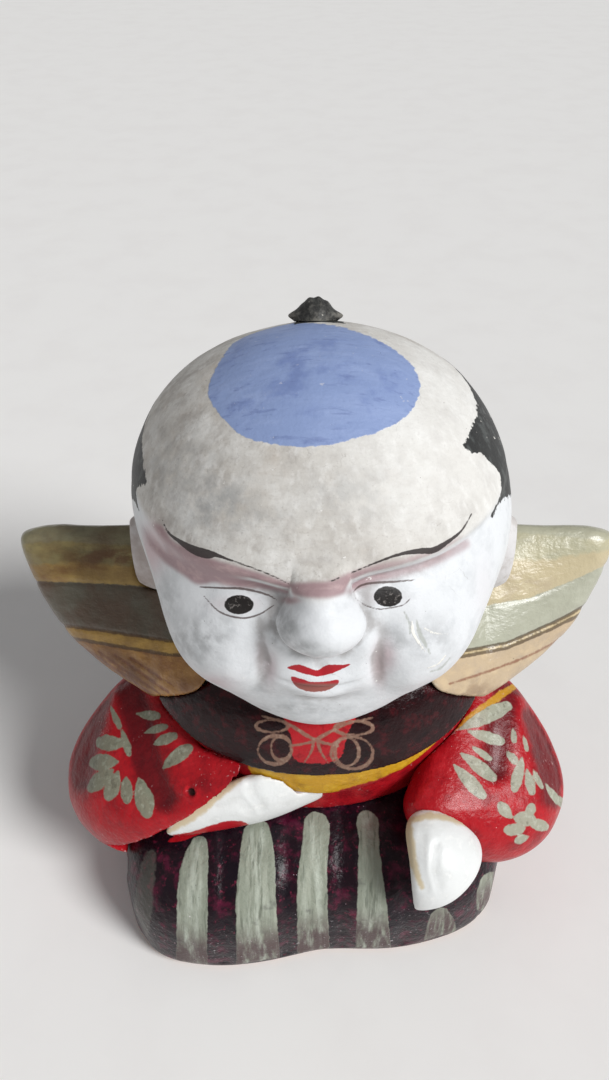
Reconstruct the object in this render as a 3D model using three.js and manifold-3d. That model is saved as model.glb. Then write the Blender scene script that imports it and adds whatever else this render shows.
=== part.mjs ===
// Kneeling clay doll in formal dress: a round-headed figure pressed from clay in separate moulds.
// The pieces are hollow half shells for the head, the torso and the lap, with solid pressings luted
// on to them. Millimetres, +Z up, and the doll faces -Y.
import * as THREE from "three";
import { ConvexGeometry } from "three/addons/geometries/ConvexGeometry.js";
import { mergeVertices } from "three/addons/utils/BufferGeometryUtils.js";
import Module from "manifold-3d";

const wasm = await Module();
wasm.setup();

// Joints between pieces
const clearance = 0.3; // slip-filled gap round every luted seat
const seamGap = 0.3; // gap between the front and back half of a shell

// Lap: the kneeling legs under pleated trousers
const lapWidth = 184;
const lapDepth = 178;
const lapHeight = 62;
const lapWall = 6.5;
const lapTurn = 3; // degrees that the knees are turned from the head's facing
const lapSquareness = 5; // exponent of the plan outline
const lapShoulder = 3.6; // exponent of the side profile
const footTuck = 4; // how far the foot draws in at the floor
const footRound = 9; // height of that rounding
const kneeNotch = 5; // depth of the hollow between the knees
const kneeNotchHalf = 26; // half its width
const kneeRound = 9; // how much rounder the left knee's corner is

// Torso
const torsoHeight = 72; // from the lap to the shoulders
const torsoWidth = 148;
const torsoDepth = 100;
const waistWidth = 126;
const waistDepth = 92;
const torsoWall = 6.5;
const shoulderRound = 4.5; // exponent of the shoulder's rounding

// Head
const headWidth = 150;
const headDepth = 150;
const headHeight = 150;
const headWall = 5;
const headSink = 24; // how deep the head beds into the shoulders
const headBack = 5; // how far the head's middle lies behind the torso's
const browRecess = 6; // how far the eyes lie back under the forehead
const noseReach = 11;
const cheekReach = 6;
const chinReach = 5;
const mouthDip = 2;
const jawInset = 10; // at the sides of the jaw, below the cheeks

// Neck tube that keys the head to the torso
const neckDiameter = 38;
const neckWall = 5;
const neckLength = 46;

// Topknot and ears
const topknotWidth = 18;
const topknotDepth = 24;
const topknotHeight = 10;
const topknotLean = 29; // degrees behind the crown
const earHeight = 40;
const earDepth = 24;
const earReach = 14;
const earDrop = 17; // below the middle of the head

// Vest: front panel on the chest, lining below it and wings at the shoulders
const panelThickness = 7;
const panelWidth = 134;
const panelDrop = 35; // lowest edge below the shoulders
const panelEndDrop = 21; // pointed ends below the shoulders
const panelTopWidth = 80;
const liningThickness = 4;
const liningDrop = 18; // below the panel's edge
const panelBow = 0.7; // how full the panel's lower edge is bowed
const liningBow = 0.45;
const wingSpan = 258;
const wingThickness = 16;
const wingRise = 30; // top edge above the shoulders
const wingDrop = 24; // lower edge below the shoulders
const wingTipHeight = 15;
const wingBack = 26; // top edge behind the torso's middle
const wingLean = 70; // lower edge in front of the top edge, next to the chest

// Sleeves and hands
const sleeveWidth = 54;
const sleeveDepth = 58;
const sleeveDrop = 30; // middle of the arm below the shoulders, at its top
const elbowReach = 13; // middle of the arm beyond the torso's side
const elbowForward = 24;
const elbowHeight = 50;
const cuffSlope = 41; // degrees of the right cuff from level
const handLength = 44;
const handWidth = 40;
const handThickness = 20;
const palmThickness = 12; // of the right hand, which lies flat

// How finely round bodies are faceted
const headAround = 44;
const headAlong = 30;
const bodyAround = 42;
const bodyAlong = 12;
const limbAround = 16;
const limbAlong = 16;
const smallAround = 14;
const smallAlong = 10;
const hollowAround = 28;
const hollowAlong = 14;

// Places that follow from the sizes
const shoulderZ = lapHeight + torsoHeight;
const headZ = shoulderZ + headHeight / 2 - headSink;
const headFootZ = shoulderZ - headSink;
const wristX = 0.38 * waistWidth;
const kneeHandX = 0.3 * lapWidth;
const wristY = -waistDepth / 2 - handThickness / 2;
const wristZ = lapHeight + handWidth * 0.4;
const farAway = 4 * (wingSpan + lapDepth + shoulderZ + headHeight);

const { clamp, degToRad, lerp } = THREE.MathUtils;
const place = (x, y, z) => new THREE.Vector3(x, y, z);
const signedPower = (value, power) =>
  Math.sign(value) * Math.abs(value) ** power;
const bump = (offset, half) => Math.exp(-((offset / half) ** 2));
const blunt = (offset) => Math.exp(-(offset ** 3));
const smooth = (t) => THREE.MathUtils.smoothstep(t, 0, 1);

// Solids for cutting and joining
function solidOf(geometry) {
  const bare = geometry.clone();
  bare.deleteAttribute("normal");
  bare.deleteAttribute("uv");
  const merged = mergeVertices(bare, 1e-3);
  return new wasm.Manifold(
    new wasm.Mesh({
      numProp: 3,
      vertProperties: merged.getAttribute("position").array,
      triVerts: new Uint32Array(merged.index.array),
    }),
  );
}

function meshOf(name, solid, paint) {
  const { numVert, numProp, vertProperties, triVerts } = solid.getMesh();
  const points = new Float32Array(numVert * 3);
  for (let i = 0; i < numVert; i++) {
    points.set(vertProperties.subarray(i * numProp, i * numProp + 3), i * 3);
  }
  const geometry = new THREE.BufferGeometry();
  geometry.setAttribute("position", new THREE.BufferAttribute(points, 3));
  geometry.setIndex(new THREE.BufferAttribute(triVerts, 1));
  geometry.computeVertexNormals();
  const mesh = new THREE.Mesh(geometry, new THREE.MeshStandardMaterial(paint));
  mesh.name = name;
  return mesh;
}

// The largest body that a cut leaves, without the crumbs beside it.
function mainBody(solid) {
  return solid.decompose().reduce((a, b) => (a.volume() > b.volume() ? a : b));
}

// Everything in front of the plane y = seam, or behind it.
function halfOf(solid, seam, side) {
  const block = new THREE.BoxGeometry(farAway, farAway, farAway);
  block.translate(0, seam + side * (farAway / 2 + seamGap / 2), 0);
  return mainBody(solid.intersect(solidOf(block)));
}

const mirrored = (solid) => solid.mirror([1, 0, 0]);

// A unit sphere with its poles on +Z and -Z, each of its directions moved to a place of its own.
function blob(around, along, moved) {
  const geometry = new THREE.SphereGeometry(1, around, along);
  geometry.rotateX(Math.PI / 2);
  const position = geometry.getAttribute("position");
  for (let i = 0; i < position.count; i++) {
    const point = place(position.getX(i), position.getY(i), position.getZ(i));
    point.copy(moved(point.clone()));
    position.setXYZ(i, point.x, point.y, point.z);
  }
  return solidOf(geometry);
}

// A round-ended limb along a bent path. Its width lies in the plane of the bend.
function limb(path, width, depth, fullness, grow) {
  const [start, bend, end] = path;
  const across = bend.clone().sub(start).cross(end.clone().sub(bend));
  across.normalize();
  const curve = new THREE.QuadraticBezierCurve3(start, bend, end);
  return blob(limbAround, limbAlong, (d) => {
    const t = clamp((d.z + 1) / 2, 0, 1);
    const tangent = curve.getTangent(t);
    const sideways = across.clone().cross(tangent);
    const flat = Math.hypot(d.x, d.y) || 1;
    const cap = (1 - d.z ** 4) ** 0.5;
    const full = fullness(t);
    return curve
      .getPoint(t)
      .addScaledVector(tangent, Math.sign(d.z) * grow * smooth(Math.abs(d.z)))
      .addScaledVector(sideways, (cap * d.x * ((width * full) / 2 + grow)) / flat)
      .addScaledVector(across, (cap * d.y * ((depth * full) / 2 + grow)) / flat);
  });
}

// The taut skin over a solid, which fills the crook of a bent arm.
function skinOver(solid) {
  const { numVert, numProp, vertProperties } = solid.getMesh();
  const points = [];
  for (let i = 0; i < numVert; i++) {
    points.push(place(...vertProperties.subarray(i * numProp, i * numProp + 3)));
  }
  return solidOf(new ConvexGeometry(points));
}

// Lap

// Plan radius of the lap in a direction, with the hollow between the knees at the front and the
// left knee turned in.
function lapRadius(angle, grow) {
  const across = Math.abs(Math.cos(angle)) / (lapWidth / 2 + grow);
  const ahead = Math.abs(Math.sin(angle)) / (lapDepth / 2 + grow);
  const radius =
    (across ** lapSquareness + ahead ** lapSquareness) ** (-1 / lapSquareness);
  const notch = kneeNotch * Math.max(-Math.sin(angle), 0);
  const corner = kneeRound * bump(angle - degToRad(-45), degToRad(26));
  return radius - notch * bump(radius * Math.cos(angle), kneeNotchHalf) - corner;
}

// A dome over the lap's plan: a flat foot, a tucked edge at the floor and the knees above it.
// Facets lie closer together about the corners.
function lapSolid(grow, foot) {
  const top = lapHeight + grow;
  return blob(bodyAround, bodyAlong, (d) => {
    const even = Math.atan2(d.y, d.x);
    const angle = even + 0.08 * Math.sin(4 * even);
    const ring = Math.round((1 - Math.acos(clamp(d.z, -1, 1)) / Math.PI) * bodyAlong);
    if (ring === 0) return d.set(0, 0, foot);
    const climb = Math.max((ring - 2) / (bodyAlong - 2), 0) * (Math.PI / 2);
    const rise = Math.sin(climb) ** (2 / lapShoulder);
    const reach = Math.cos(climb) ** (2 / lapShoulder);
    const z = ring === 1 ? foot : lerp(footRound, top, rise);
    const tuck = ring === 1 ? footTuck : 0;
    const radius = (lapRadius(angle, grow) - tuck) * reach;
    return d.set(radius * Math.cos(angle), radius * Math.sin(angle), z);
  }).rotate([0, 0, lapTurn]);
}

// Torso: widening from the waist, then rounded in over the shoulders. It starts inside the lap.
function torsoSolid(grow) {
  const foot = lapHeight - 2 * lapWall;
  const top = shoulderZ + grow;
  return blob(bodyAround, bodyAlong, (d) => {
    const level = clamp((d.z + 1) / 2, 0, 1);
    const spread = smooth(level / 0.6);
    const closing = (1 - level ** shoulderRound) ** (1 / shoulderRound);
    const reach = level > 0 ? closing : 0;
    const halfWidth = lerp(waistWidth, torsoWidth, spread) / 2 + grow;
    const halfDepth = lerp(waistDepth, torsoDepth, spread) / 2 + grow;
    const flat = Math.hypot(d.x, d.y) || 1;
    return d.set(
      (halfWidth * reach * d.x) / flat,
      (halfDepth * reach * d.y) / flat,
      lerp(foot, top, level),
    );
  });
}

// Head

// Distance of the face's relief from a plain round head, at an angle to the side and up.
function faceRelief(side, up) {
  const browEdge = degToRad(22) + 0.06 * side * side;
  const below = browEdge - up;
  const recess =
    smooth(below / degToRad(5)) *
    bump(below, degToRad(17)) *
    bump(side, degToRad(55));
  const nose = blunt(Math.hypot(side / degToRad(13), (up - degToRad(8)) / degToRad(10)));
  const bridge = bump(side, degToRad(8)) * bump(up - degToRad(16), degToRad(8));
  const cheeks =
    bump(Math.abs(side) - degToRad(36), degToRad(20)) *
    bump(up - degToRad(-12), degToRad(16));
  const chin = bump(side, degToRad(24)) * bump(up - degToRad(-36), degToRad(14));
  const mouth = bump(side, degToRad(20)) * bump(up - degToRad(-16), degToRad(10));
  const jaw =
    bump(Math.abs(side) - degToRad(66), degToRad(26)) *
    bump(up - degToRad(-27), degToRad(20));
  return (
    noseReach * nose +
    browRecess * (0.6 * bridge - recess) +
    cheekReach * cheeks +
    chinReach * chin -
    mouthDip * mouth -
    jawInset * jaw
  );
}

// Facets lie closer together about the face than at the back.
function headSolid(grow, relief, around, along) {
  return blob(around, along, (d) => {
    const turn = Math.atan2(d.x, -d.y);
    const tilt = Math.asin(clamp(d.z, -1, 1));
    const side = turn - 0.6 * Math.sin(turn);
    const up = tilt - 0.28 * Math.sin(2 * tilt);
    const reach = relief * faceRelief(side, up) + grow;
    const flat = Math.cos(up);
    d.set(flat * Math.sin(side), -flat * Math.cos(side), Math.sin(up));
    return place(
      d.x * (headWidth / 2 + reach),
      d.y * (headDepth / 2 + reach) + headBack,
      d.z * (headHeight / 2 + reach) + headZ,
    );
  });
}

// Vest

// Straight-sided block behind an outline on the chest: pointed ends, a bowed lower edge and a
// top that runs up under the chin.
function chestBlock(drop, bow, grow) {
  const half = panelWidth / 2 + 2 * grow;
  const topHalf = panelTopWidth / 2 + grow;
  const ends = shoulderZ - panelEndDrop;
  const foot = shoulderZ - drop - grow;
  const outline = new THREE.Shape();
  outline.moveTo(-half, ends);
  outline.bezierCurveTo(-bow * half, foot, -0.4 * bow * half, foot, 0, foot);
  outline.bezierCurveTo(0.4 * bow * half, foot, bow * half, foot, half, ends);
  outline.lineTo(topHalf, shoulderZ + grow);
  outline.lineTo(-topHalf, shoulderZ + grow);
  outline.closePath();
  const block = new THREE.ExtrudeGeometry(outline, {
    depth: farAway,
    bevelEnabled: false,
    curveSegments: 10,
  });
  block.rotateX(Math.PI / 2);
  return solidOf(block);
}

function panelSlab(grow) {
  const block = chestBlock(panelDrop, panelBow, grow);
  return torsoSolid(panelThickness + grow).intersect(block);
}

function liningSlab(grow) {
  const block = chestBlock(panelDrop + liningDrop, liningBow, grow);
  return torsoSolid(liningThickness + grow).intersect(block);
}

// A leaning slab from the chest to a rounded tip; its lower edge sweeps back to the top edge.
function wingSolid(grow) {
  const root = panelTopWidth / 2;
  const top = shoulderZ + wingRise;
  return blob(limbAround, limbAlong, (d) => {
    const out = clamp((d.z + 1) / 2, 0, 1);
    const cap = (1 - d.z ** 8) ** 0.4;
    const flat = Math.hypot(d.x, d.y) || 1;
    const lowest = shoulderZ - wingDrop;
    const tipFoot = top - wingTipHeight;
    const risen = lerp(lowest, tipFoot, out ** 6);
    const footZ = risen + wingDrop * clamp(1 - out / 0.35, 0, 1);
    const footY = wingBack - wingLean * (1 - out) ** 0.8;
    const up = place(0, wingBack - footY, top - footZ);
    const half = up.length() / 2;
    up.normalize();
    const face = place(0, -up.z, up.y);
    const rise = signedPower(d.x / flat, 0.7) * (half + grow);
    const full = wingThickness * lerp(0.5, 1, smooth(out / 0.4));
    const thick = signedPower(d.y / flat, 0.7) * (full / 2 + grow);
    return place(lerp(root, wingSpan / 2 + grow, out), wingBack + footY, top + footZ)
      .multiply(place(1, 0.5, 0.5))
      .addScaledVector(up, cap * rise)
      .addScaledVector(face, cap * thick);
  });
}

// A sleeve hangs full over an arm that is bent at the elbow, where the middle of its path is.
const sleeveFullness = (t) => 0.6 + 0.48 * bump(t - 0.6, 0.36);
function sleeveSolid(end, grow) {
  const top = place(0.46 * torsoWidth, 0, shoulderZ - sleeveDrop);
  const bend = place(torsoWidth / 2 + elbowReach, -elbowForward, elbowHeight);
  bend.multiplyScalar(2).addScaledVector(top, -0.5).addScaledVector(end, -0.5);
  return skinOver(
    limb([top, bend, end], sleeveWidth, sleeveDepth, sleeveFullness, grow),
  );
}

// Block above or below the slanting plane that a cuff ends in.
function cuffBlock(side, grow) {
  const block = new THREE.BoxGeometry(3 * handWidth, farAway, handLength);
  block.translate(0, 0, (side * handLength) / 2 - grow);
  block.rotateY(degToRad(cuffSlope));
  block.translate(wristX, wristY, wristZ + handWidth / 5);
  return solidOf(block);
}

// The right sleeve runs on past the wrist and is cut off aslant for its cuff.
function rightSleeveSolid(grow) {
  const past = place(wristX - 0.8 * handLength, wristY, wristZ + handLength / 2);
  return mirrored(sleeveSolid(past, grow).subtract(cuffBlock(-1, grow)));
}

const leftSleeveSolid = (grow) =>
  sleeveSolid(place(wristX - handWidth / 5, wristY, wristZ), grow);

// Paints
const shellWhite = { color: "#d9d5cf", roughness: 0.75, metalness: 0 };
const hairBlack = { color: "#3a3936", roughness: 0.6, metalness: 0 };
const bareClay = { color: "#a9693f", roughness: 0.9, metalness: 0 };
const robeRed = { color: "#b3202b", roughness: 0.45, metalness: 0 };
const vestOchre = { color: "#a5844c", roughness: 0.5, metalness: 0 };
const vestBlack = { color: "#2c1b1c", roughness: 0.3, metalness: 0 };
const liningYellow = { color: "#d0a01e", roughness: 0.4, metalness: 0 };
const trouserPurple = { color: "#3b1c33", roughness: 0.45, metalness: 0 };

const doll = new THREE.Group();
doll.name = "clay_doll";
const add = (name, solid, paint) =>
  doll.add(meshOf(name, mainBody(solid), paint));

// What neighbours are cut by, with their gap
const seatOfHead = headSolid(clearance, 1, headAround, headAlong);
const seatOfTorso = torsoSolid(clearance);
const seatOfLap = lapSolid(clearance, -lapWall);
const seatOfPanel = panelSlab(clearance);
const seatOfWing = wingSolid(clearance);
const seatOfWings = seatOfWing.add(mirrored(seatOfWing));

// Head shells, open at the neck
const neckBore = new THREE.CylinderGeometry(
  neckDiameter / 2 + clearance,
  neckDiameter / 2 + clearance,
  headHeight,
  30,
);
neckBore.rotateX(Math.PI / 2);
neckBore.translate(0, headBack, headFootZ);
const openNeck = solidOf(neckBore);
const hollowHead = headSolid(0, 1, headAround, headAlong)
  .subtract(headSolid(-headWall, 0.6, hollowAround, hollowAlong))
  .subtract(openNeck);
add("face_shell", halfOf(hollowHead, headBack, -1), shellWhite);
add("skull_shell", halfOf(hollowHead, headBack, 1), shellWhite);

// Neck tube, half in the head and half in the torso
const neckProfile = [
  [neckDiameter / 2 - neckWall, 0],
  [neckDiameter / 2, 0],
  [neckDiameter / 2, neckLength],
  [neckDiameter / 2 - neckWall, neckLength],
  [neckDiameter / 2 - neckWall, 0],
].map(([radius, z]) => new THREE.Vector2(radius, z));
const neckTube = new THREE.LatheGeometry(neckProfile, 30);
neckTube.rotateX(Math.PI / 2);
neckTube.translate(0, headBack, headFootZ - neckLength / 2);
add("neck_tube", solidOf(neckTube), bareClay);

// Topknot on the back of the crown
const lean = degToRad(topknotLean);
const topknot = blob(smallAround, smallAlong, (d) => {
  d.multiply(place(topknotWidth / 2, topknotDepth / 2, topknotHeight));
  d.z += headHeight / 2;
  return d.applyEuler(new THREE.Euler(-lean, 0, 0)).add(place(0, headBack, headZ));
});
add("topknot", topknot.subtract(seatOfHead), hairBlack);

// Ears over the seam of the head
const earMiddle = place((headWidth - earReach) / 2, headBack, headZ - earDrop);
const earSolid = (grow) =>
  blob(smallAround, smallAlong, (d) => {
    const radii = place(earReach + grow, earDepth / 2 + grow, earHeight / 2 + grow);
    return d.multiply(radii).add(earMiddle);
  });
const leftEar = earSolid(0).subtract(seatOfHead);
const seatOfEar = earSolid(clearance);
add("right_ear", mirrored(leftEar), shellWhite);
add("left_ear", leftEar, shellWhite);

// Lap shells, open at the floor and under the torso
const hollowLap = lapSolid(0, 0)
  .subtract(lapSolid(-lapWall, -lapWall))
  .subtract(torsoSolid(-torsoWall));
add("lap_front", halfOf(hollowLap, 0, -1), trouserPurple);
add("lap_back", halfOf(hollowLap, 0, 1), trouserPurple);

// Torso shells: one wall thick at the sides and under the dish that the head beds in
const torsoHollow = torsoSolid(-torsoWall).subtract(
  headSolid(torsoWall, 0, hollowAround, hollowAlong),
);
const hollowTorso = torsoSolid(0)
  .subtract(seatOfLap)
  .subtract(seatOfHead)
  .subtract(mainBody(torsoHollow))
  .subtract(openNeck);
add("torso_front", halfOf(hollowTorso, 0, -1), robeRed);
add("torso_back", halfOf(hollowTorso, 0, 1), robeRed);

// Vest
const panel = panelSlab(0)
  .subtract(seatOfTorso)
  .subtract(seatOfHead);
add("vest_panel", panel, vestBlack);

const leftWing = wingSolid(0)
  .subtract(seatOfTorso)
  .subtract(seatOfHead)
  .subtract(seatOfEar)
  .subtract(seatOfPanel);
add("right_wing", mirrored(leftWing), vestOchre);
add("left_wing", leftWing, vestOchre);

const lining = liningSlab(0)
  .subtract(seatOfTorso)
  .subtract(seatOfHead)
  .subtract(seatOfPanel)
  .subtract(seatOfWings);
add("vest_lining", lining, liningYellow);

// Sleeves
const seatOfLining = liningSlab(clearance);
const onBody = (solid) =>
  [seatOfTorso, seatOfLap, seatOfLining, seatOfPanel].reduce((a, b) => a.subtract(b), solid);
const leftSleeve = onBody(leftSleeveSolid(0)).subtract(seatOfWing);
const rightSleeve = onBody(rightSleeveSolid(0)).subtract(mirrored(seatOfWing));
add("right_sleeve", rightSleeve, robeRed);
add("left_sleeve", leftSleeve, robeRed);

// Hands: the right one lies flat across the belly, the left one hangs over its knee
const rightHand = limb(
  [
    place(-wristX - 0.36 * handLength, wristY - palmThickness / 2, lapHeight + palmThickness / 3),
    place(-wristX / 2, -waistDepth / 2 - palmThickness / 2, wristZ + handWidth / 5),
    place(handLength - 0.8 * wristX, -waistDepth / 2, wristZ - 0.1 * handWidth),
  ],
  0.75 * handWidth,
  palmThickness,
  (t) => 0.4 + 0.6 * bump(t - 0.5, 0.4),
  0,
);
const leftHand = limb(
  [
    place(kneeHandX, wristY, lapHeight + handWidth / 5),
    place(kneeHandX, -lapDepth / 2, lapHeight + handThickness / 2),
    place(kneeHandX - handWidth / 4, -lapDepth / 2, lapHeight - handLength / 4),
  ],
  handThickness,
  handWidth,
  (t) => 1.15 - 0.85 * t ** 1.3,
  0,
);
const belowCuff = onBody(rightHand).subtract(mirrored(cuffBlock(1, clearance)));
add("right_hand", belowCuff.subtract(rightSleeveSolid(clearance)), shellWhite);
add("left_hand", onBody(leftHand).subtract(leftSleeveSolid(clearance)), shellWhite);

// The origin goes to the middle of the foot of everything.
const bounds = new THREE.Box3().setFromObject(doll);
const middle = bounds.getCenter(place(0, 0, 0));
for (const mesh of doll.children) {
  mesh.geometry.translate(-middle.x, -middle.y, -bounds.min.z);
}

export default doll;
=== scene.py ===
import math

import bmesh
import bpy
import numpy as np
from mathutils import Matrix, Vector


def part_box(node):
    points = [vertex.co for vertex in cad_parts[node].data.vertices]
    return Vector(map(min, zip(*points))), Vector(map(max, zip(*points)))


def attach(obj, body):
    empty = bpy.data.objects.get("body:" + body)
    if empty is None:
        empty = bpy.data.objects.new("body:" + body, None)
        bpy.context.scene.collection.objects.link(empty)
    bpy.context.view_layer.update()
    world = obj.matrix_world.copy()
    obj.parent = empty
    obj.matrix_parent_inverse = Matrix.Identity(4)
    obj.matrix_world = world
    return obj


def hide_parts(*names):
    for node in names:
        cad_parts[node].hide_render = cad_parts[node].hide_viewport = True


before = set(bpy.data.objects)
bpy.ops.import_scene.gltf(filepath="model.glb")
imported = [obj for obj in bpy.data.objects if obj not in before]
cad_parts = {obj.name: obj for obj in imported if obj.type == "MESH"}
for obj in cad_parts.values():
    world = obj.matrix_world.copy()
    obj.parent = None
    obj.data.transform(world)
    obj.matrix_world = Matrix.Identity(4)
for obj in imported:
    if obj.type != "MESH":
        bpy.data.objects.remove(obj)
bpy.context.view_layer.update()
print("frame loaded:", len(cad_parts), "solids")

mm = 0.001  # sizes below are in millimetres, Blender's are in metres
skullBack = 80.0  # behind the doll's own middle
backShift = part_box("skull_shell")[1].y / mm - skullBack  # the solids are centred on their own foot
seatGap = 0.3  # between a piece and what it is bedded on
farOut = -60.0  # a field's value away from any brushwork


def smooth(t):
    t = np.clip(t, 0.0, 1.0)
    return t * t * (3.0 - 2.0 * t)


def bump(offset, half):
    return np.exp(-((offset / half) ** 2))


def blunt(distance):
    return np.exp(-(np.abs(distance) ** 3))


def lerp(low, high, t):
    return low + (high - low) * t


def signedPower(value, power):
    return np.sign(value) * np.abs(value) ** power


def lumps(points, size, seed=0):
    # smooth random heights from -1 to 1, one lump to about every size
    spots = points / size + 13.7 * seed
    cell = np.floor(spots)
    part = smooth(spots - cell)
    total = np.zeros(len(points))
    for corner in range(8):
        step = np.array([corner & 1, corner >> 1 & 1, corner >> 2 & 1])
        height = np.sin((cell + step) @ (12.9898, 78.233, 37.719)) * 43758.5453
        share = np.prod(np.where(step == 1, part, 1.0 - part), axis=1)
        total += share * (2.0 * (height - np.floor(height)) - 1.0)
    return total


# Meshes

def meshFrom(name, points, faces):
    mesh = bpy.data.meshes.new(name)
    mesh.from_pydata((np.asarray(points) * mm).tolist(), [], faces)
    shape = bmesh.new()
    shape.from_mesh(mesh)
    bmesh.ops.recalc_face_normals(shape, faces=shape.faces)
    shape.to_mesh(mesh)
    shape.free()
    return mesh


def evenTurns(count):
    return np.linspace(-math.pi, math.pi, count, endpoint=False)


def evenTilts(count):
    return np.linspace(-math.pi / 2, math.pi / 2, count + 1)[1:-1]


def ballMesh(name, turns, tilts, shape):
    # a ball of rings, each direction of it moved to a place of its own
    around, rings = len(turns), len(tilts)
    turn = np.concatenate(([0.0], np.tile(turns, rings), [0.0]))
    tilt = np.concatenate(([-math.pi / 2], np.repeat(tilts, around), [math.pi / 2]))
    points = shape(turn, tilt)
    last = len(points) - 1
    faces = []
    for col in range(around):
        side = (col + 1) % around
        faces.append((0, 1 + side, 1 + col))
        faces.append((last, last - around + col, last - around + side))
        for first in range(1, 1 + (rings - 1) * around, around):
            faces.append((first + col, first + side, first + around + side, first + around + col))
    return meshFrom(name, points, faces)


def prismMesh(name, ring, far):
    # two like rings of points with walls between them and a cap on each
    count = len(ring)
    faces = [(i, (i + 1) % count, count + (i + 1) % count, count + i) for i in range(count)]
    faces += [tuple(range(count)), tuple(range(count, 2 * count))]
    return meshFrom(name, [*ring, *far], faces)


def worked(name, mesh, cutters=(), voxel=0.0, rounds=0, how="DIFFERENCE"):
    # cuts a mesh with others, then presses it to an even skin of clay
    piece = bpy.data.objects.new(name, mesh)
    helpers = [bpy.data.objects.new("cutter", cutter) for cutter in cutters]
    for helper in helpers:
        change = piece.modifiers.new("cut", "BOOLEAN")
        change.operation, change.solver, change.object = how, "MANIFOLD", helper
    if voxel:
        skin = piece.modifiers.new("skin", "REMESH")
        skin.mode, skin.voxel_size = "VOXEL", voxel * mm
        soft = piece.modifiers.new("soft", "SMOOTH")
        soft.factor, soft.iterations = 0.5, rounds
    for item in [piece, *helpers]:
        bpy.context.scene.collection.objects.link(item)
    graph = bpy.context.evaluated_depsgraph_get()
    made = bpy.data.meshes.new_from_object(piece.evaluated_get(graph), depsgraph=graph)
    for item in [piece, *helpers]:
        bpy.data.objects.remove(item)
    made.name = name
    return largestBody(made)


def largestBody(mesh):
    # crumbs that a cut leaves are dropped
    shape = bmesh.new()
    shape.from_mesh(mesh)
    shape.verts.ensure_lookup_table()
    seen, bodies = set(), []
    for vert in shape.verts:
        if vert.index in seen:
            continue
        body, edge = [], [vert]
        seen.add(vert.index)
        while edge:
            here = edge.pop()
            body.append(here)
            for link in here.link_edges:
                there = link.other_vert(here)
                if there.index not in seen:
                    seen.add(there.index)
                    edge.append(there)
        bodies.append(body)
    bodies.sort(key=len)
    for body in bodies[:-1]:
        bmesh.ops.delete(shape, geom=body, context="VERTS")
    shape.to_mesh(mesh)
    shape.free()
    return mesh


def pointsOf(mesh):
    flat = np.empty(len(mesh.vertices) * 3)
    mesh.vertices.foreach_get("co", flat)
    return flat.reshape(-1, 3) / mm


def normalsOf(mesh):
    flat = np.empty(len(mesh.vertices) * 3)
    mesh.vertex_normals.foreach_get("vector", flat)
    return flat.reshape(-1, 3)


def pushOut(mesh, heights):
    moved = pointsOf(mesh) + normalsOf(mesh) * np.asarray(heights)[:, None]
    mesh.vertices.foreach_set("co", (moved * mm).ravel())
    mesh.update()


def setFields(mesh, **fields):
    for name, values in fields.items():
        field = mesh.attributes.new(name, "FLOAT", "POINT")
        field.data.foreach_set("value", np.asarray(values, np.float32))


def ridgeField(mesh, rounds):
    # how far each point stands out of its smoothed surroundings: edges above 0, hollows below
    points = pointsOf(mesh)
    pairs = np.empty(len(mesh.edges) * 2, np.int32)
    mesh.edges.foreach_get("vertices", pairs)
    (a, b), many = pairs.reshape(-1, 2).T, len(points)
    count = np.maximum(np.bincount(a, minlength=many) + np.bincount(b, minlength=many), 1)
    soft = points.copy()
    for _ in range(rounds):
        total = [np.bincount(a, axis[b], many) + np.bincount(b, axis[a], many) for axis in soft.T]
        soft = np.stack(total, 1) / count[:, None]
    ridge = ((points - soft) * normalsOf(mesh)).sum(1)
    setFields(mesh, ridge=ridge, hollow=-ridge)


def press(mesh, uneven, rounds, dents=0.0, fade=1.0):
    # lumps in the clay, each of a height, a size and a seed, then a note of what stands out
    points = pointsOf(mesh)
    heights = sum(height * lumps(points, size, seed) for height, size, seed in uneven)
    pushOut(mesh, (heights - dents) * fade)
    ridgeField(mesh, rounds)


# Brushwork is set out on a sheet of 609 by 1080 squares, as a painter looking down on the doll
# sees it, and lies on whatever part of the surface is under it.
layoutSheet = {
    "eye": (-5.4, -252.1, 389.4),
    "pitch": 40.0,  # degrees below level
    "middle": (304.5, 540.0),
    "reach": 831.0,  # squares
    "square": 0.45,  # millimetres on the doll
}


def onSheet(mesh):
    pitch = math.radians(layoutSheet["pitch"])
    away = pointsOf(mesh) - layoutSheet["eye"]
    depth = away @ (0.0, math.cos(pitch), -math.sin(pitch))
    rise = away @ (0.0, math.sin(pitch), math.cos(pitch))
    col = layoutSheet["middle"][0] + layoutSheet["reach"] * away[:, 0] / depth
    row = layoutSheet["middle"][1] - layoutSheet["reach"] * rise / depth
    away /= np.linalg.norm(away, axis=1)[:, None]
    facing = -(away * normalsOf(mesh)).sum(1)
    return np.stack([col, row], 1), facing


def curveThrough(path, steps, closed=False):
    path = np.asarray(path, float)
    if closed:
        path = np.concatenate([path[-1:], path, path[:2]])
    else:
        path = np.concatenate([2 * path[:1] - path[1:2], path, 2 * path[-1:] - path[-2:-1]])
    t = np.linspace(0.0, 1.0, steps, endpoint=False)[:, None]
    run = []
    for a, b, c, d in zip(path, path[1:], path[2:], path[3:]):
        run.append(b + 0.5 * t * (c - a + t * (2 * a - 5 * b + 4 * c - d + t * (3 * (b - c) + d - a))))
    run.append(path[1:2] if closed else path[-2:-1])
    return np.concatenate(run)


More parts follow.
